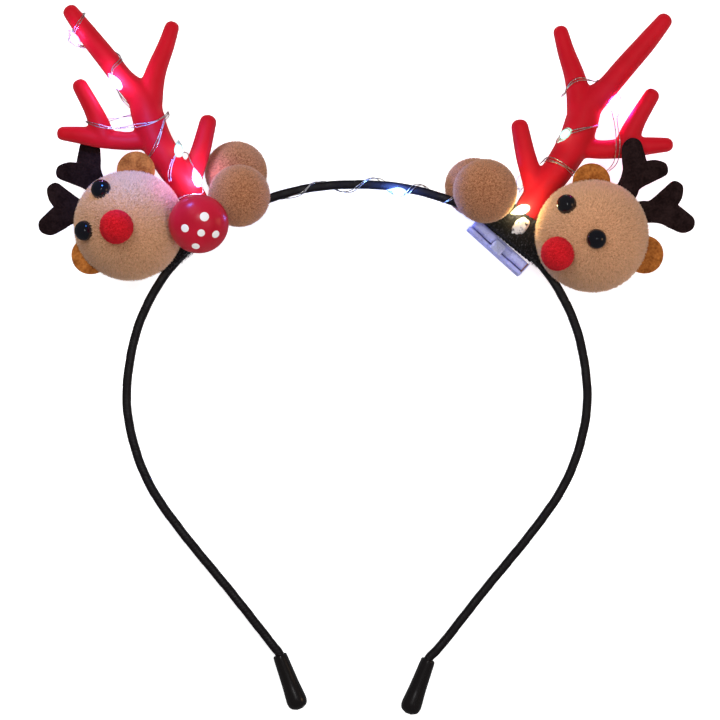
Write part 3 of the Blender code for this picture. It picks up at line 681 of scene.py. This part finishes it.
def on_head(name, proud):
    """A point on the head where the front view shows it, and the way out from the head there."""
    side = name.split("_")[1]
    *centre, radius = HEADS[side]
    x, y = FACES[name]
    z = math.sqrt((radius + proud) ** 2 - x**2 - y**2)
    out = np.array((x, y, z))
    return np.array(centre) + out, unit(out)


def turned_to(way):
    """A turn, as rows of a matrix, that brings Z to the way."""
    return np.array(Vector(way).to_track_quat("Z", "Y").to_matrix()).T


def build_eye(name):
    """A round bead, flattened a little to the front."""
    middle, out = on_head(name, 0.0)
    grid = ball_grid(30, 48) * (EYE_R, EYE_R, EYE_HALF_DEEP)
    turn = turned_to(out)
    ends = middle + on_axis(-EYE_HALF_DEEP, EYE_HALF_DEEP) @ turn
    show("bead_" + name, skin(name, middle + grid @ turn, *ends), BEAD, [name])


def build_ear(name):
    """A felt disc: a superellipse section turned about the ear's middle, a little wavy at its rim."""
    side = name.split("_")[1]
    middle = np.array(HEADS[side][:3]) + np.array(EARS[name])
    turn = np.linspace(-math.pi / 2, math.pi / 2, 26)[1:-1]
    profile = np.column_stack([EAR_R * np.abs(np.cos(turn)) ** 0.35,
                               EAR_HALF_THICK * np.sign(np.sin(turn)) * np.abs(np.sin(turn)) ** 0.8])
    grid = turned(profile, 72)
    grid = grid * (1.0 + 0.012 * waves(grid, 6.0, len(name)))[..., None]
    grid[..., 2] += 0.18 * waves(grid * (1, 1, 0), 7.0, 5)
    ends = middle + on_axis(-EAR_HALF_THICK, EAR_HALF_THICK)
    show("felt_" + name, skin(name, middle + grid, *ends), EAR_FELT, [name])


def rounded_slab(outline, half_thick, edge, steps=4):
    """A flat plate: its outline drawn in by edge (1 - cos) while it rises by edge sin, both sides alike."""
    before, after = np.roll(outline, 1, axis=0), np.roll(outline, -1, axis=0)
    way = unit(unit(after - outline) + unit(outline - before))
    inward = np.stack([-way[:, 1], way[:, 0]], axis=1)
    angle = np.linspace(0.0, math.pi / 2, steps)
    lifts = half_thick - edge + edge * np.sin(angle)
    draws = edge * (1.0 - np.cos(angle))
    draws = np.concatenate([draws[::-1], draws])
    lifts = np.concatenate([-lifts[::-1], lifts])
    flat = outline[None] + inward[None] * draws[:, None, None]
    return np.concatenate([flat, np.broadcast_to(lifts[:, None, None], (*flat.shape[:2], 1))], axis=-1)


def slab_mesh(name, outline, half_thick, edge, to_hoop, steps=4):
    """The plate's rings as a mesh, with one flat face above and one below; the outline runs anticlockwise."""
    grid = rounded_slab(outline, half_thick, edge, steps)
    rows, around = grid.shape[:2]
    ends = np.stack([np.arange(around)[::-1], (rows - 1) * around + np.arange(around)])
    return to_mesh(name, placed(to_hoop(grid.reshape(-1, 3))), grid_faces(rows, around), ends)


FELT_HALF_THICK = 0.9
FELT_NOTCH = 11.3
FELT_STEM_END = -5.7
FELT_BEND = 0.22
FELT_RUNS = [
    # along, across, from corner to corner
    [(-12, 3.1), (0, 3.3), (3.2, 3), (7.6, 5.4), (11.3, 7.3), (13.7, 5.4), (13, 2.2), (11.3, 0)],
    [(11.3, 0), (13.2, -2.2), (15.2, -5), (14.3, -7.8), (11.1, -8.5), (7.6, -6.4), (4.8, -4.4),
     (0, -3.4), (-12, -3.1)],
]
FELT_ANTLERS = {
    # notch x, y, z, axis_deg, flip
    "felt_antler_left_top": (-84.2, 69.7, -4.6, 128.0, -1),
    "felt_antler_left_low": (-90.5, 56.0, 3.0, 174.0, 1),
    "felt_antler_right_top": (86.8, 69.7, 5.2, 57.0, 1),
    "felt_antler_right_low": (96.2, 56.5, 5.2, 11.0, -1),
}


def build_felt_antler(name):
    """A die-cut felt antler, a little bent, its stem ending inside the head."""
    x, y, z, axis_deg, flip = FELT_ANTLERS[name]
    runs = [through(run, 10)[:-1] for run in FELT_RUNS]
    outline = np.vstack(runs)
    outline = (outline[outline[:, 0] > FELT_STEM_END] - (FELT_NOTCH, 0.0)) * (1, -flip)
    after = np.roll(outline, -1, axis=0)
    if np.sum(outline[:, 0] * after[:, 1] - after[:, 0] * outline[:, 1]) < 0:
        outline = outline[::-1]

    def to_hoop(points):
        bend = FELT_BEND * waves(points * (1, 1, 0), 16.0, len(name) + flip)
        return np.array((x, y, z)) + (points + bend[:, None] * (0, 0, 1.0)) @ about_z(axis_deg)

    mesh = slab_mesh(name, outline, FELT_HALF_THICK, 0.3, to_hoop)
    show("cut_" + name, mesh, DARK_FELT, [name])


# Toadstool
TOADSTOOL_RIM = np.array((-46.4, 50.4, 19.5))
TOADSTOOL_TILT_DEG = 16.0
TOADSTOOL_R = 8.9
TOADSTOOL_HIGH = 6.4
TOADSTOOL_BASE = -1.2
TOADSTOOL_ROLL = [
    # inset from the rim, height
    (2.4, -1.3), (1.1, -1.25), (0.4, -0.9), (0.05, -0.4),
]
STEM_LONG, STEM_TOP = 12.4, -1.5
STEM_R, STEM_WAIST = 2.55, 0.45
PAINTED_DOTS = [
    # picture_x, picture_y, radius
    (204.5, 216.6, 1.45), (184.8, 228.3, 1.3), (201.2, 233.0, 1.2), (215.9, 234.4, 1.25),
    (195.7, 246.5, 1.25),
]


def toadstool_ways():
    """The toadstool's own X, Y and Z in the hoop frame, as rows."""
    c, s = math.cos(math.radians(TOADSTOOL_TILT_DEG)), math.sin(math.radians(TOADSTOOL_TILT_DEG))
    return np.array(((1.0, 0.0, 0.0), (0.0, c, s), (0.0, -s, c)))


def build_toadstool():
    """A turned lacquered cap with a rolled rim, its waisted stem and five raised dots of paint."""
    ways = toadstool_ways()
    dome = np.radians(np.linspace(90.0, 3.0, 30))
    profile = [(2.0, TOADSTOOL_BASE)] + [(TOADSTOOL_R - inset, high) for inset, high in TOADSTOOL_ROLL]
    profile += list(zip(TOADSTOOL_R * np.sin(dome), TOADSTOOL_HIGH * np.cos(dome)))
    grid = turned(profile, 96)
    ends = on_axis(TOADSTOOL_BASE, TOADSTOOL_HIGH) @ ways + TOADSTOOL_RIM
    show("lacquered_mushroom_cap", skin("cap", grid @ ways + TOADSTOOL_RIM, *ends), LACQUER,
         ["mushroom_cap"])
    high = np.linspace(-STEM_LONG, STEM_TOP, 20)
    waist = STEM_R - STEM_WAIST * np.sin((high + STEM_LONG) / (STEM_LONG + STEM_TOP) * math.pi)
    ends = on_axis(high[0], high[-1]) @ ways + TOADSTOOL_RIM
    grid = turned(np.column_stack([waist, high]), 48)
    show("waisted_mushroom_stem", skin("stem", grid @ ways + TOADSTOOL_RIM, *ends), STEM,
         ["mushroom_stem"])
    eye = np.array((*PICTURE_MIDDLE, CAMERA_HIGH))
    axes = np.array((TOADSTOOL_R, TOADSTOOL_R, TOADSTOOL_HIGH))
    dots = []
    for picture_x, picture_y, radius in PAINTED_DOTS:
        target = seen([(picture_x, picture_y, 23.0)])[0]
        start, way = (eye - TOADSTOOL_RIM) @ ways.T / axes, (target - eye) @ ways.T / axes
        a, b, c = way @ way, 2 * start @ way, start @ start - 1.0
        hit = (start + way * (-b - math.sqrt(b * b - 4 * a * c)) / (2 * a)) * axes
        out = unit(hit / axes**2)
        share = np.linspace(1.0, 0.12, 7)
        flat = turned(np.column_stack([radius * share, np.zeros(7)]), 28) @ turned_to(out) + hit
        on = flat / np.linalg.norm(flat / axes, axis=-1, keepdims=True)
        raised = 0.10 * np.sqrt(np.maximum(1.0 - share**2, 0.0)) - 0.02
        grid = on + out * raised[:, None, None]
        dots.append(skin("dot", grid @ ways + TOADSTOOL_RIM, None, (hit + out * 0.09) @ ways + TOADSTOOL_RIM))
    show("mushroom_paint_dots", joined(dots, "dots"), WHITE_PAINT)


# Knit pads and glue
PAD_MIDDLE = (45.9, 46.8)
PAD_ANGLE_DEG = 39.5
# The pad stops this far outside the band's inner face, and goes this far past that behind the case
PAD_INSET = 0.2
PAD_TO_CASE = 2.85
PAD_VOXEL = 0.38
PAD_SOFTENING = 4
KNIT_RIB = 1.25
KNIT_STITCH = 1.5
RIB_HIGH, STITCH_HIGH, KNIT_SUNK = 0.16, 0.12, 0.1
FUZZ_COUNT, FUZZ_SEED = 5200, 7
FUZZ_LONG, FUZZ_WIDE, FUZZ_LEAN = 0.65, 0.05, 1.6
GLUE_MIDDLE = np.array((48.9, 49.9, 8.0))
GLUE_HALF = np.array((3.2, 2.0, 1.9))
GLUE_ANGLE_DEG = 42.0
GLUE_SWELL = 0.13


def vectors_of(mesh, key="co"):
    """A mesh's points or normals as an array."""
    held = np.zeros(len(mesh.vertices) * 3, np.float32)
    mesh.vertices.foreach_get(key, held)
    return held.reshape(-1, 3).astype(float)


def to_hoop_mm(points):
    """Part metres to hoop millimetres."""
    back = np.array(REST.inverted())
    return (points @ back[:3, :3].T + back[:3, 3]) / MM


def off_the_inside(points):
    """Points past the band's inner face are moved out to it; behind the case they reach on to the case."""
    nearest = np.argmin(np.linalg.norm(points[:, None, :2] - HOOP[None, ::4, :2], axis=-1), axis=1) * 4
    inward = -flat_frame(HOOP)[0][nearest]
    along = np.abs((points - BOX_MIDDLE) @ CASE_WAYS[0])
    behind_case = PAD_TO_CASE * np.clip(BOX_LONG / 2 - along, 0.0, 1.0)
    past = ((points - HOOP[nearest]) * inward).sum(1) - BAND_HALF_THICK + PAD_INSET - behind_case
    return points - inward * np.maximum(past, 0.0)[:, None]


def build_pad(side):
    """The pad's solid, evenly meshed and raised along its normals into ribs that stitches cut across."""
    build = bmesh.new()
    build.from_mesh(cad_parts["pad_" + side].data)
    bmesh.ops.remove_doubles(build, verts=build.verts, dist=0.00001)
    mesh = bpy.data.meshes.new("pad")
    build.to_mesh(mesh)
    build.free()
    plain = put("plain_pad", mesh)
    melt(plain, PAD_VOXEL, PAD_SOFTENING)
    view = bpy.context.evaluated_depsgraph_get()
    even = bpy.data.meshes.new_from_object(plain.evaluated_get(view))
    bpy.data.objects.remove(plain)
    points = to_hoop_mm(vectors_of(even))
    normals = vectors_of(even, "normal") @ REST_GRID[:3, :3]
    sign = -1.0 if side == "left" else 1.0
    angle = math.radians(-sign * PAD_ANGLE_DEG)
    along = ((points[:, 0] - sign * PAD_MIDDLE[0]) * math.cos(angle)
             + (points[:, 1] - PAD_MIDDLE[1]) * math.sin(angle))
    rib = np.sin(along * 2 * math.pi / KNIT_RIB)
    stitch = np.abs(np.sin(points[:, 2] * math.pi / KNIT_STITCH + np.sign(rib) * 0.8))
    raised = off_the_inside(points + normals * (RIB_HIGH * rib + STITCH_HIGH * stitch - KNIT_SUNK)[:, None])
    even.vertices.foreach_set("co", placed(raised).astype(np.float32).ravel())
    even.update()
    show("knit_pad_" + side, even, KNIT, ["pad_" + side])
    pick = np.random.default_rng(FUZZ_SEED).integers(0, len(points), FUZZ_COUNT)
    fuzz = fibres("fuzz", points[pick], normals[pick], FUZZ_LONG, FUZZ_WIDE, FUZZ_LEAN, FUZZ_SEED)
    show("knit_fuzz_" + side, fuzz, KNIT)


def build_glue():
    """A set blob of hot glue: an ellipsoid with deep waves."""
    grid = ball_grid(30, 48)
    swell = 1.0 + GLUE_SWELL * waves(grid, 1.1, 4)
    points = (grid * GLUE_HALF * swell[..., None]) @ about_z(GLUE_ANGLE_DEG) + GLUE_MIDDLE
    ends = GLUE_MIDDLE + on_axis(-GLUE_HALF[2], GLUE_HALF[2])
    show("hot_glue_blob", skin("glue", points, *ends), GLUE, ["glue_blob"])


# Battery case
BOX_MIDDLE = np.array((43.1, 44.6, -4.3))
BOX_ANGLE_DEG = 42.0
CASE_WAYS = about_z(-BOX_ANGLE_DEG)
BOX_LONG, BOX_THICK, BOX_DEEP = 20.4, 3.0, 17.8
LID_HALF_THICK = 0.55
LID_Y = -BOX_THICK / 2 - 0.3 - LID_HALF_THICK
LID_LONG, LID_DEEP = 21.0, 18.4
LID_NOTCHES = [
    # start, end along the lid from its upper end, depth
    (5.15, 8.1, 1.5), (12.8, 15.6, 1.5),
]
NOTCH_CHAMFER = 0.15
SLIDER_LONG = 4.0
SLIDER_Y = -1.2
RIB_PLACES = (-1.1, -0.4, 0.3, 1.0)


def from_case(points):
    """The case's own millimetres, X along it and Y out from the hoop, to the hoop frame."""
    return np.asarray(points) @ CASE_WAYS + BOX_MIDDLE


def rounded_rectangle(half_x, half_y, corner, steps=6):
    """An anticlockwise outline: four quarter circles joined by straight sides."""
    turn = np.radians(np.linspace(0.0, 90.0, steps))
    runs = []
    for k, (sx, sy) in enumerate(((1, 1), (-1, 1), (-1, -1), (1, -1))):
        angle = turn + k * math.pi / 2
        runs.append(np.column_stack([sx * (half_x - corner) + corner * np.cos(angle),
                                     sy * (half_y - corner) + corner * np.sin(angle)]))
    return np.vstack(runs)


def case_plate(name, outline, half_thick, edge, middle, spin=np.eye(3)):
    """A plate in the case's frame; spin brings the plate's own axes to the case's."""
    spin = np.array(spin, float)
    return slab_mesh(name, outline, half_thick, edge, lambda p: from_case(p @ spin + np.array(middle, float)))


def build_case_details():
    """The lid with its notched rim and end lip, the switch's ribbed cap and the copper contact."""
    half, deep = LID_LONG / 2, LID_DEEP / 2
    front = []
    for start, end, notch in LID_NOTCHES:
        a, b, c = start - half, end - half, NOTCH_CHAMFER
        front += [(a - c, deep), (a, deep - c), (a, deep - notch),
                  (b, deep - notch), (b, deep - c), (b + c, deep)]
    corner = rounded_rectangle(half, deep, 0.9)
    quarter = len(corner) // 4
    outline = np.vstack([corner[:quarter], np.array(front)[::-1], corner[quarter:]])
    lying = ((1, 0, 0), (0, 0, 1), (0, -1, 0))
    lid = case_plate("lid", outline, LID_HALF_THICK, 0.2, (0.0, LID_Y, 0.0), lying)
    lip = case_plate("lip", rounded_rectangle(1.9, deep - 0.3, 0.4), 0.14, 0.08, (half - 0.15, -0.1, 0.0),
                     ((0, 1, 0), (0, 0, 1), (1, 0, 0)))
    show("notched_battery_lid", joined([lid, lip], "lid"), BLUE_LIT_CASE, ["battery_lid"],
         sharp_deg=50)
    contact = case_plate("contact", rounded_rectangle(2.0, 0.16, 0.05), 0.05, 0.02,
                         (BOX_LONG / 2 - 0.30, -0.55, BOX_DEEP / 2 + 0.02),
                         ((0, 1, 0), (1, 0, 0), (0, 0, -1)))
    show("copper_contact", contact, COPPER, sharp_deg=50)
    cap = case_plate("cap", rounded_rectangle(SLIDER_LONG / 2, 1.45, 0.35), 0.35, 0.18,
                     (0.0, SLIDER_Y, BOX_DEEP / 2 + 0.65))
    stem = case_plate("stem", rounded_rectangle(SLIDER_LONG / 2 - 0.3, 0.6, 0.2), 0.7, 0.1,
                      (0.0, 0.0, BOX_DEEP / 2 - 0.3))
    ribs = [case_plate("rib", rounded_rectangle(0.16, 1.1, 0.1), 0.1, 0.06,
                       (x, SLIDER_Y, BOX_DEEP / 2 + 1.02)) for x in RIB_PLACES]
    show("switch_cap", joined([cap, stem, *ribs], "switch"), BLUE_LIT_SWITCH, ["switch_slider"],
         body="switch", sharp_deg=50)
    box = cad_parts["battery_box"]
    box.data.materials.clear()
    box.data.materials.append(BLUE_LIT_CASE)


# The light string
VIOLET, PINK, MAGENTA = (0.50, 0.24, 1.0), (0.80, 0.36, 1.0), (1.0, 0.06, 0.85)
BLUE, GREEN, WARM, CLEAR = (0.10, 0.24, 1.0), (0.30, 1.0, 0.74), (0.74, 0.60, 0.15), (0.80, 0.80, 0.95)
# Rim colours: painted shade at the drops' rims, in deeper copies of the glow colours.
VIOLET_RIM_SHADE, GREEN_RIM_SHADE = (0.30, 0.24, 0.75), (0.22, 0.62, 0.52)
BLUE_RIM_SHADE, CLEAR_RIM_SHADE = (0.16, 0.42, 0.85), (0.45, 0.45, 0.55)
LIGHTS = {
    # glow colour, painted rim shade colour, slot, core strength, lamp milliwatts
    "light_left_outer_tine": (VIOLET, VIOLET_RIM_SHADE, "light_pink", 1.6, 2.0),
    "light_left_fork": (VIOLET, VIOLET_RIM_SHADE, "light_pink", 14.0, 7.0),
    "light_left_beam": (GREEN, GREEN_RIM_SHADE, "light_green", 0.9, 0.4),
    "light_left_spur": (PINK, VIOLET_RIM_SHADE, "light_pink", 18.0, 5.5),
    "light_crown": (BLUE, BLUE_RIM_SHADE, "light_blue", 4.0, 30.0),
    "light_right_beam": (GREEN, GREEN_RIM_SHADE, "light_green", 0.7, 0.3),
    "light_right_fork": (MAGENTA, VIOLET_RIM_SHADE, "light_pink", 8.0, 10.0),
    "light_right_foot": (WARM, CLEAR_RIM_SHADE, "light_warm", 46.0, 3.4),
    "light_right_spur": (CLEAR, CLEAR_RIM_SHADE, "light_warm", 0.1, 0.0),
}
# The glowing heart, as shares of its drop's radius and half length
HEART_R, HEART_LONG, HEART_AHEAD = 0.66, 0.52, 0.18
# A lamp's radius, and how far towards the viewer it stands from the drop's middle
LAMP_R = 1.2
LAMP_LIFT = 2.0
DROP_PROFILE = [
    # radius share, length share from the wire end to the round end
    (0.10, -1.00), (0.20, -0.96), (0.34, -0.82), (0.58, -0.60), (0.82, -0.32), (0.96, 0.0), (1.00, 0.28),
    (0.93, 0.56), (0.74, 0.80), (0.44, 0.95), (0.16, 0.995),
]


def drop_place(name):
    """Middle, long axis, half length and radius of a light's solid, from its own points."""
    points = np.unique(to_hoop_mm(vectors_of(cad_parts[name].data)).round(4), axis=0)
    middle = points.mean(0)
    axes = np.linalg.svd(points - middle)[2]
    reach = (points - middle) @ axes.T
    return middle, axes[0], np.abs(reach[:, 0]).max(), np.abs(reach[:, 1]).max()


def lamp(name, kind, place, watts, colour, aim=None, **values):
    """A lamp that the camera doesn't see, turned to its aim if it has one."""
    data = bpy.data.lights.new(name, kind)
    data.energy, data.color = watts, colour
    for key, value in values.items():
        setattr(data, key, value)
    held = put(name, data)
    held.location = place
    if aim is not None:
        held.rotation_mode = "QUATERNION"
        held.rotation_quaternion = (Vector(aim) - Vector(place)).to_track_quat("-Z", "Y")
    held.visible_camera = False
    return held


def build_light(name):
    """A clear drop turned about its long axis, with a glowing heart in it and a small lamp above it."""
    colour, rim, slot, strength, milliwatts = LIGHTS[name]
    middle, axis, half_long, radius = drop_place(name)
    turn = turned_to(axis)
    profile = through(DROP_PROFILE, 3) * (radius, half_long)
    ends = on_axis(-half_long, half_long) @ turn + middle
    # Painted glow: the drop's tint is a pale copy of its light's colour.
    glow_tint = tuple(0.64 + 0.34 * part for part in colour)
    drop = show("clear_" + name, skin(name, turned(profile, 28) @ turn + middle, *ends),
                drop_finish("drop_" + name, glow_tint, rim, colour, 0.01 * strength), [name])
    drop.visible_shadow = False
    heart_r, heart_long, ahead = HEART_R * radius, HEART_LONG * half_long, HEART_AHEAD * half_long
    heart = ball_grid(12, 20) * (heart_r, heart_r, heart_long) + (0, 0, ahead)
    tips = on_axis(ahead - heart_long, ahead + heart_long) @ turn + middle
    glowing = tuple(0.45 + 0.55 * part for part in colour)
    core = show("heart_" + name, skin(name, heart @ turn + middle, *tips),
                lit_finish("heart_" + name, glowing, strength))
    core.visible_shadow = False
    if milliwatts:
        lamp("lamp_" + name, "POINT", placed(middle + (0.0, 0.0, LAMP_LIFT)), milliwatts * MM, colour,
             shadow_soft_size=LAMP_R * MM)


STRAND_R = 0.14
STRAND_APART = 0.27
WEAVE = 0.16
SEAT = 0.2
# Strands of the light string over the antlers: the way they run, by what the picture shows
WIRE_ROUTES = {
    # how many side by side, then picture_x, picture_y, depth
    "wire_left_tip": (2, [
        (116, 88, 2), (112, 78, 3.4), (113, 69, 3.6), (119, 62, 2.2), (120.8, 57, -0.5),
        (114, 51.5, -3), (100, 48, -4.2), (86, 47, -3), (76, 43, -0.5), (74, 36, 1.2),
        (78, 25, 3), (83.4, 14.6, 1.8), (85.2, 13.4, -0.6), (82, 15.5, -3.4), (77, 20, -3.6),
    ]),
    "wire_left_splay": (2, [
        (76, 27.5, 2.2), (71, 35.5, 1.2), (67.8, 40.6, 0.8), (72.5, 43.4, 0.6), (78.5, 46.2, 0.5),
        (85, 47.6, -0.2),
    ]),
    "wire_left_branch": (2, [
        (116, 88, 1), (122, 98, -4.6), (134, 112.5, -4.2), (122, 117, -3.4), (110, 120, -3.2),
        (94, 123.5, -3.4), (86.5, 122, -0.6), (88, 122.4, 2), (103, 126.6, 3.6), (118, 128, 3.4),
        (137, 125.7, 4.2), (153.4, 122, 4.4), (165, 116, 3), (168.6, 112.5, 0), (168, 116, 2.4),
        (164.5, 121, 3.8), (159, 136.8, 4.4), (153.4, 152, 2.8), (151.6, 158, -0.5),
        (160, 160, -4.2), (172, 155, -4), (179.5, 149, -0.5),
    ]),
    "wire_left_foot": (2, [
        (180, 149, 1), (175.6, 155.3, 3.6), (171, 164.5, 4.2), (169.2, 174, 4.2), (170.5, 182, 4.6),
    ]),
    "wire_left_spur": (1, [
        (182, 152, -2.5), (187.6, 153.4, 0.5), (190.4, 160.8, 3.4), (196, 172, 4.2), (203, 190, 4.4),
        (201.5, 193.8, 5), (193, 194.2, 6), (183, 196.5, 6.5), (176, 201, 6),
    ]),
    "wire_right_tip": (2, [
        (561, 96, -2.5), (566.8, 91.5, 0), (570, 84.5, 2.4), (577, 79.8, 3.6), (582.8, 79, 2.6),
        (590, 80.2, 1.5), (599, 83.4, 1), (606, 90, -2), (611, 99, -3.5),
    ]),
    "wire_right_branch": (1, [
        (611, 99, -3.5), (611, 107, -1), (615, 126.5, 2.6), (616.2, 142, 4), (615.4, 156, 3.2),
        (612.5, 164.5, 0), (606.5, 171, -2.5),
    ]),
    "wire_right_loop": (1, [
        (611.5, 99, -3), (617.4, 104, -2), (619.2, 111, -1), (617, 118, 0.4), (618.4, 130, 3.2),
        (620, 142, 4), (619, 156, 3.2), (616, 164.5, 0), (608.5, 171.6, -2.5),
    ]),
    "wire_right_beam": (2, [
        (557, 143, -2), (558.5, 139, 1), (566, 134, 4), (573, 131.6, 4.6), (584, 128.5, 4.7),
        (593, 126.6, 3.8), (598.5, 126, 0.5), (592, 128, -4.2),
    ]),
    "wire_right_fork": (3, [
        (541, 163, -3.6), (544.5, 159.5, -0.5), (549, 159.4, 3.2), (558, 162.3, 4.6), (566, 166.8, 4.2),
        (573, 172, 1.6), (576, 175.5, -2),
    ]),
}
CROWN_TURNS = [
    # picture_x, picture_y, depth
    (268, 196, -2.9), (281, 198.6, -1.2), (290, 197.6, 1.6), (300.7, 194, 2.9), (306.3, 188.9, 3),
    (311, 184, 2.8), (317, 182, 1.2), (325, 183, -2.9), (337, 190, -2.2), (344.2, 192, 0.8),
    (351.2, 191.2, 2.6), (356.8, 187.4, 3), (363.8, 181.6, 2.8), (369.4, 178.8, 1.6), (376.5, 178.2, 0),
    (383, 181.5, -2.9), (392, 189, -2.4), (399, 193.4, 0.6), (407.3, 192.6, 2.6), (411.5, 188.2, 3),
    (415.7, 185.2, 2.4), (421.4, 184.8, 0.6), (427, 188, -2.9), (436, 198, -1.6), (442.4, 202, 1.2),
    (448, 200.8, 2.9), (453.6, 197, 3), (459, 193.5, 1.5),
]


def off_the_antler(line, side, clear):
    """Points inside a limb are moved straight out of it, and each point's way out is kept."""
    stations = np.vstack(list(LIMBS[side].values()))
    squash = np.array((1.0, 1.0, 1.0 / ANTLER_FLAT))
    offset = (line[:, None] - stations[None, :, :3]) * squash
    gap = np.linalg.norm(offset, axis=-1) - stations[None, :, 3]
    nearest = np.argmin(gap, axis=1)
    pick = np.arange(len(line))
    out = unit(offset[pick, nearest])
    moved = line + out * np.maximum(clear - gap[pick, nearest], 0.0)[:, None] / squash
    return moved, out


def round_tube(name, line, radius, around=8):
    """A round wire, its rings on the smallest turn from the line's overall way to each stretch's way."""
    along = unit(np.gradient(line, axis=0))
    lead = unit(line[-1] - line[0])
    first = unit(np.cross(lead, (0.30, 0.52, 0.80)))
    both = along + lead
    share = (along @ first) / np.maximum(1.0 + along @ lead, 0.02)
    sideways = unit(first - share[:, None] * both)
    sideways = unit(sideways - (sideways * along).sum(1, keepdims=True) * along)
    upways = np.cross(along, sideways)
    c, s = superellipse(around)
    grid = line[:, None] + radius * (c[:, None] * sideways[:, None] + s[:, None] * upways[:, None])
    return skin(name, grid, line[0], line[-1])


def strands(name, line, out, count):
    """Wires side by side on a line: each is shifted sideways and weaves a little."""
    along = unit(np.gradient(line, axis=0))
    side = unit(np.cross(along, out))
    run = np.linspace(0.0, len(line) / 14.0, len(line))
    made = []
    for k in range(count):
        shift = (k - (count - 1) / 2) * 2 * STRAND_APART
        weave = WEAVE * np.sin(run * 2.1 + 2.4 * k) if count > 1 else 0.0 * run
        own = line + side * (shift * (1.0 + 0.25 * np.sin(run * 1.3 + k)) + weave)[:, None]
        made.append(round_tube(name, own, STRAND_R))
    return made


def build_wires():
    """Every stretch of silver wire: over the antlers, and round the band at the crown."""
    for name, (count, rows) in WIRE_ROUTES.items():
        side = name.split("_")[1]
        line, _ = evenly(through(seen(rows), 10), 0.3)
        line, _ = off_the_antler(line, side, SEAT)
        padded = np.pad(line, ((2, 2), (0, 0)), mode="edge")
        line = np.column_stack([np.convolve(column, np.ones(5) / 5, "valid") for column in padded.T])
        line, out = off_the_antler(line, side, SEAT)
        show("silver_" + name, joined(strands(name, line, out, count), name), WIRE)
    line, _ = evenly(through(seen(CROWN_TURNS), 10), 0.3)
    nearest = HOOP[np.argmin(np.linalg.norm((line[:, None] - HOOP[None])[..., :2], axis=-1), axis=1)]
    made = strands("crown", line, unit(line - nearest), 2)
    show("silver_wire_crown", joined(made, "crown"), WIRE)


# Floor, light and picture
TABLE_HALF = 6.0


def make_stage():
    """A plain white table that glows a little and leaves no gloss on the pieces, under a dim white sky."""
    corners = np.array(((-1, -1, 0), (1, -1, 0), (1, 1, 0), (-1, 1, 0))) * TABLE_HALF
    mesh = to_mesh("table", corners, np.array([[0, 1, 2, 3]]))
    table = put("table", mesh)
    white = lit_finish("table_white", (0.92, 0.92, 0.92), 0.78)
    white.node_tree.nodes["Principled BSDF"].inputs["Roughness"].default_value = 0.9
    mesh.materials.append(white)
    table.visible_glossy = False
    world = bpy.data.worlds.new("sky")
    world.use_nodes = True
    sky = world.node_tree.nodes["Background"]
    sky.inputs[0].default_value = (0.97, 0.98, 1.0, 1.0)
    sky.inputs[1].default_value = 0.14
    bpy.context.scene.world = world


def softbox(name, place, aim, size, watts, colour=(1.0, 1.0, 1.0), glossy=True):
    """A square soft light, aimed at a point; glossy says whether shiny pieces mirror it."""
    lamp(name, "AREA", place, watts, colour, aim, size=size).visible_glossy = glossy


def light_the_scene():
    """Key from the upper left, a weaker fill, a small one in front for the highlights, a warm one beside."""
    softbox("key", (-0.38, 0.50, 0.90), (0.0, 0.02, 0.0), 0.55, 6.8, glossy=False)
    softbox("fill", (0.45, -0.30, 0.95), (0.0, 0.0, 0.0), 0.5, 4.3, glossy=False)
    softbox("front", (0.03, 0.05, 1.25), (0.0, 0.0, 0.0), 0.06, 1.6)
    softbox("warm", (0.85, -0.05, 0.42), (0.0, 0.0, 0.0), 0.25, 0.7, (1.0, 0.62, 0.34))


SPILLS = {
    # from and to as picture_x, picture_y, depth, then colour, watts and angle_deg
    "spill_violet": ([(126, 92, 45), (146, 176, 12)], (0.04, 0.22, 1.0), 0.10, 80.0),
    "spill_pink": ([(190, 165, 25), (160, 190, 14)], (0.42, 0.16, 1.0), 0.012, 66.0),
}


def spill(name, rows, colour, watts, angle_deg):
    """Light that the string throws on its surroundings: a soft spot from the first place to the second."""
    start, aim = placed(seen(rows))
    lamp(name, "SPOT", start, watts, colour, aim, spot_size=math.radians(angle_deg), spot_blend=0.9,
         shadow_soft_size=0.004)


def add_bloom():
    """The lens's soft glow round what is brighter than the table."""
    scene = bpy.context.scene
    scene.use_nodes = True
    tree = scene.node_tree
    tree.nodes.clear()
    picture = tree.nodes.new("CompositorNodeRLayers")
    glow = tree.nodes.new("CompositorNodeGlare")
    glow.glare_type = "BLOOM"
    for socket, value in (("Threshold", 4.0), ("Strength", 0.13), ("Size", 0.32), ("Saturation", 1.0)):
        glow.inputs[socket].default_value = value
    result = tree.nodes.new("CompositorNodeComposite")
    tree.links.new(picture.outputs["Image"], glow.inputs["Image"])
    tree.links.new(glow.outputs["Image"], result.inputs["Image"])


build_band()
for side in ("left", "right"):
    build_cap(side)
    build_antler(side)
    plush_ball("head_" + side, HEADS[side], "head")
    on, _ = on_head("nose_" + side, NOSE_PROUD)
    plush_ball("nose_" + side, (*on, NOSE_R), "nose")
    build_pad(side)
for name, place in POMPOMS.items():
    plush_ball(name, place, "pompom")
for name in FACES:
    if name.startswith("eye"):
        build_eye(name)
for name in EARS:
    build_ear(name)
for name in FELT_ANTLERS:
    build_felt_antler(name)
build_toadstool()
build_glue()
build_case_details()
for name in LIGHTS:
    build_light(name)
build_wires()
make_stage()
light_the_scene()
for name, values in SPILLS.items():
    spill(name, *values)
bpy.context.scene.view_settings.view_transform = "Standard"
add_bloom()
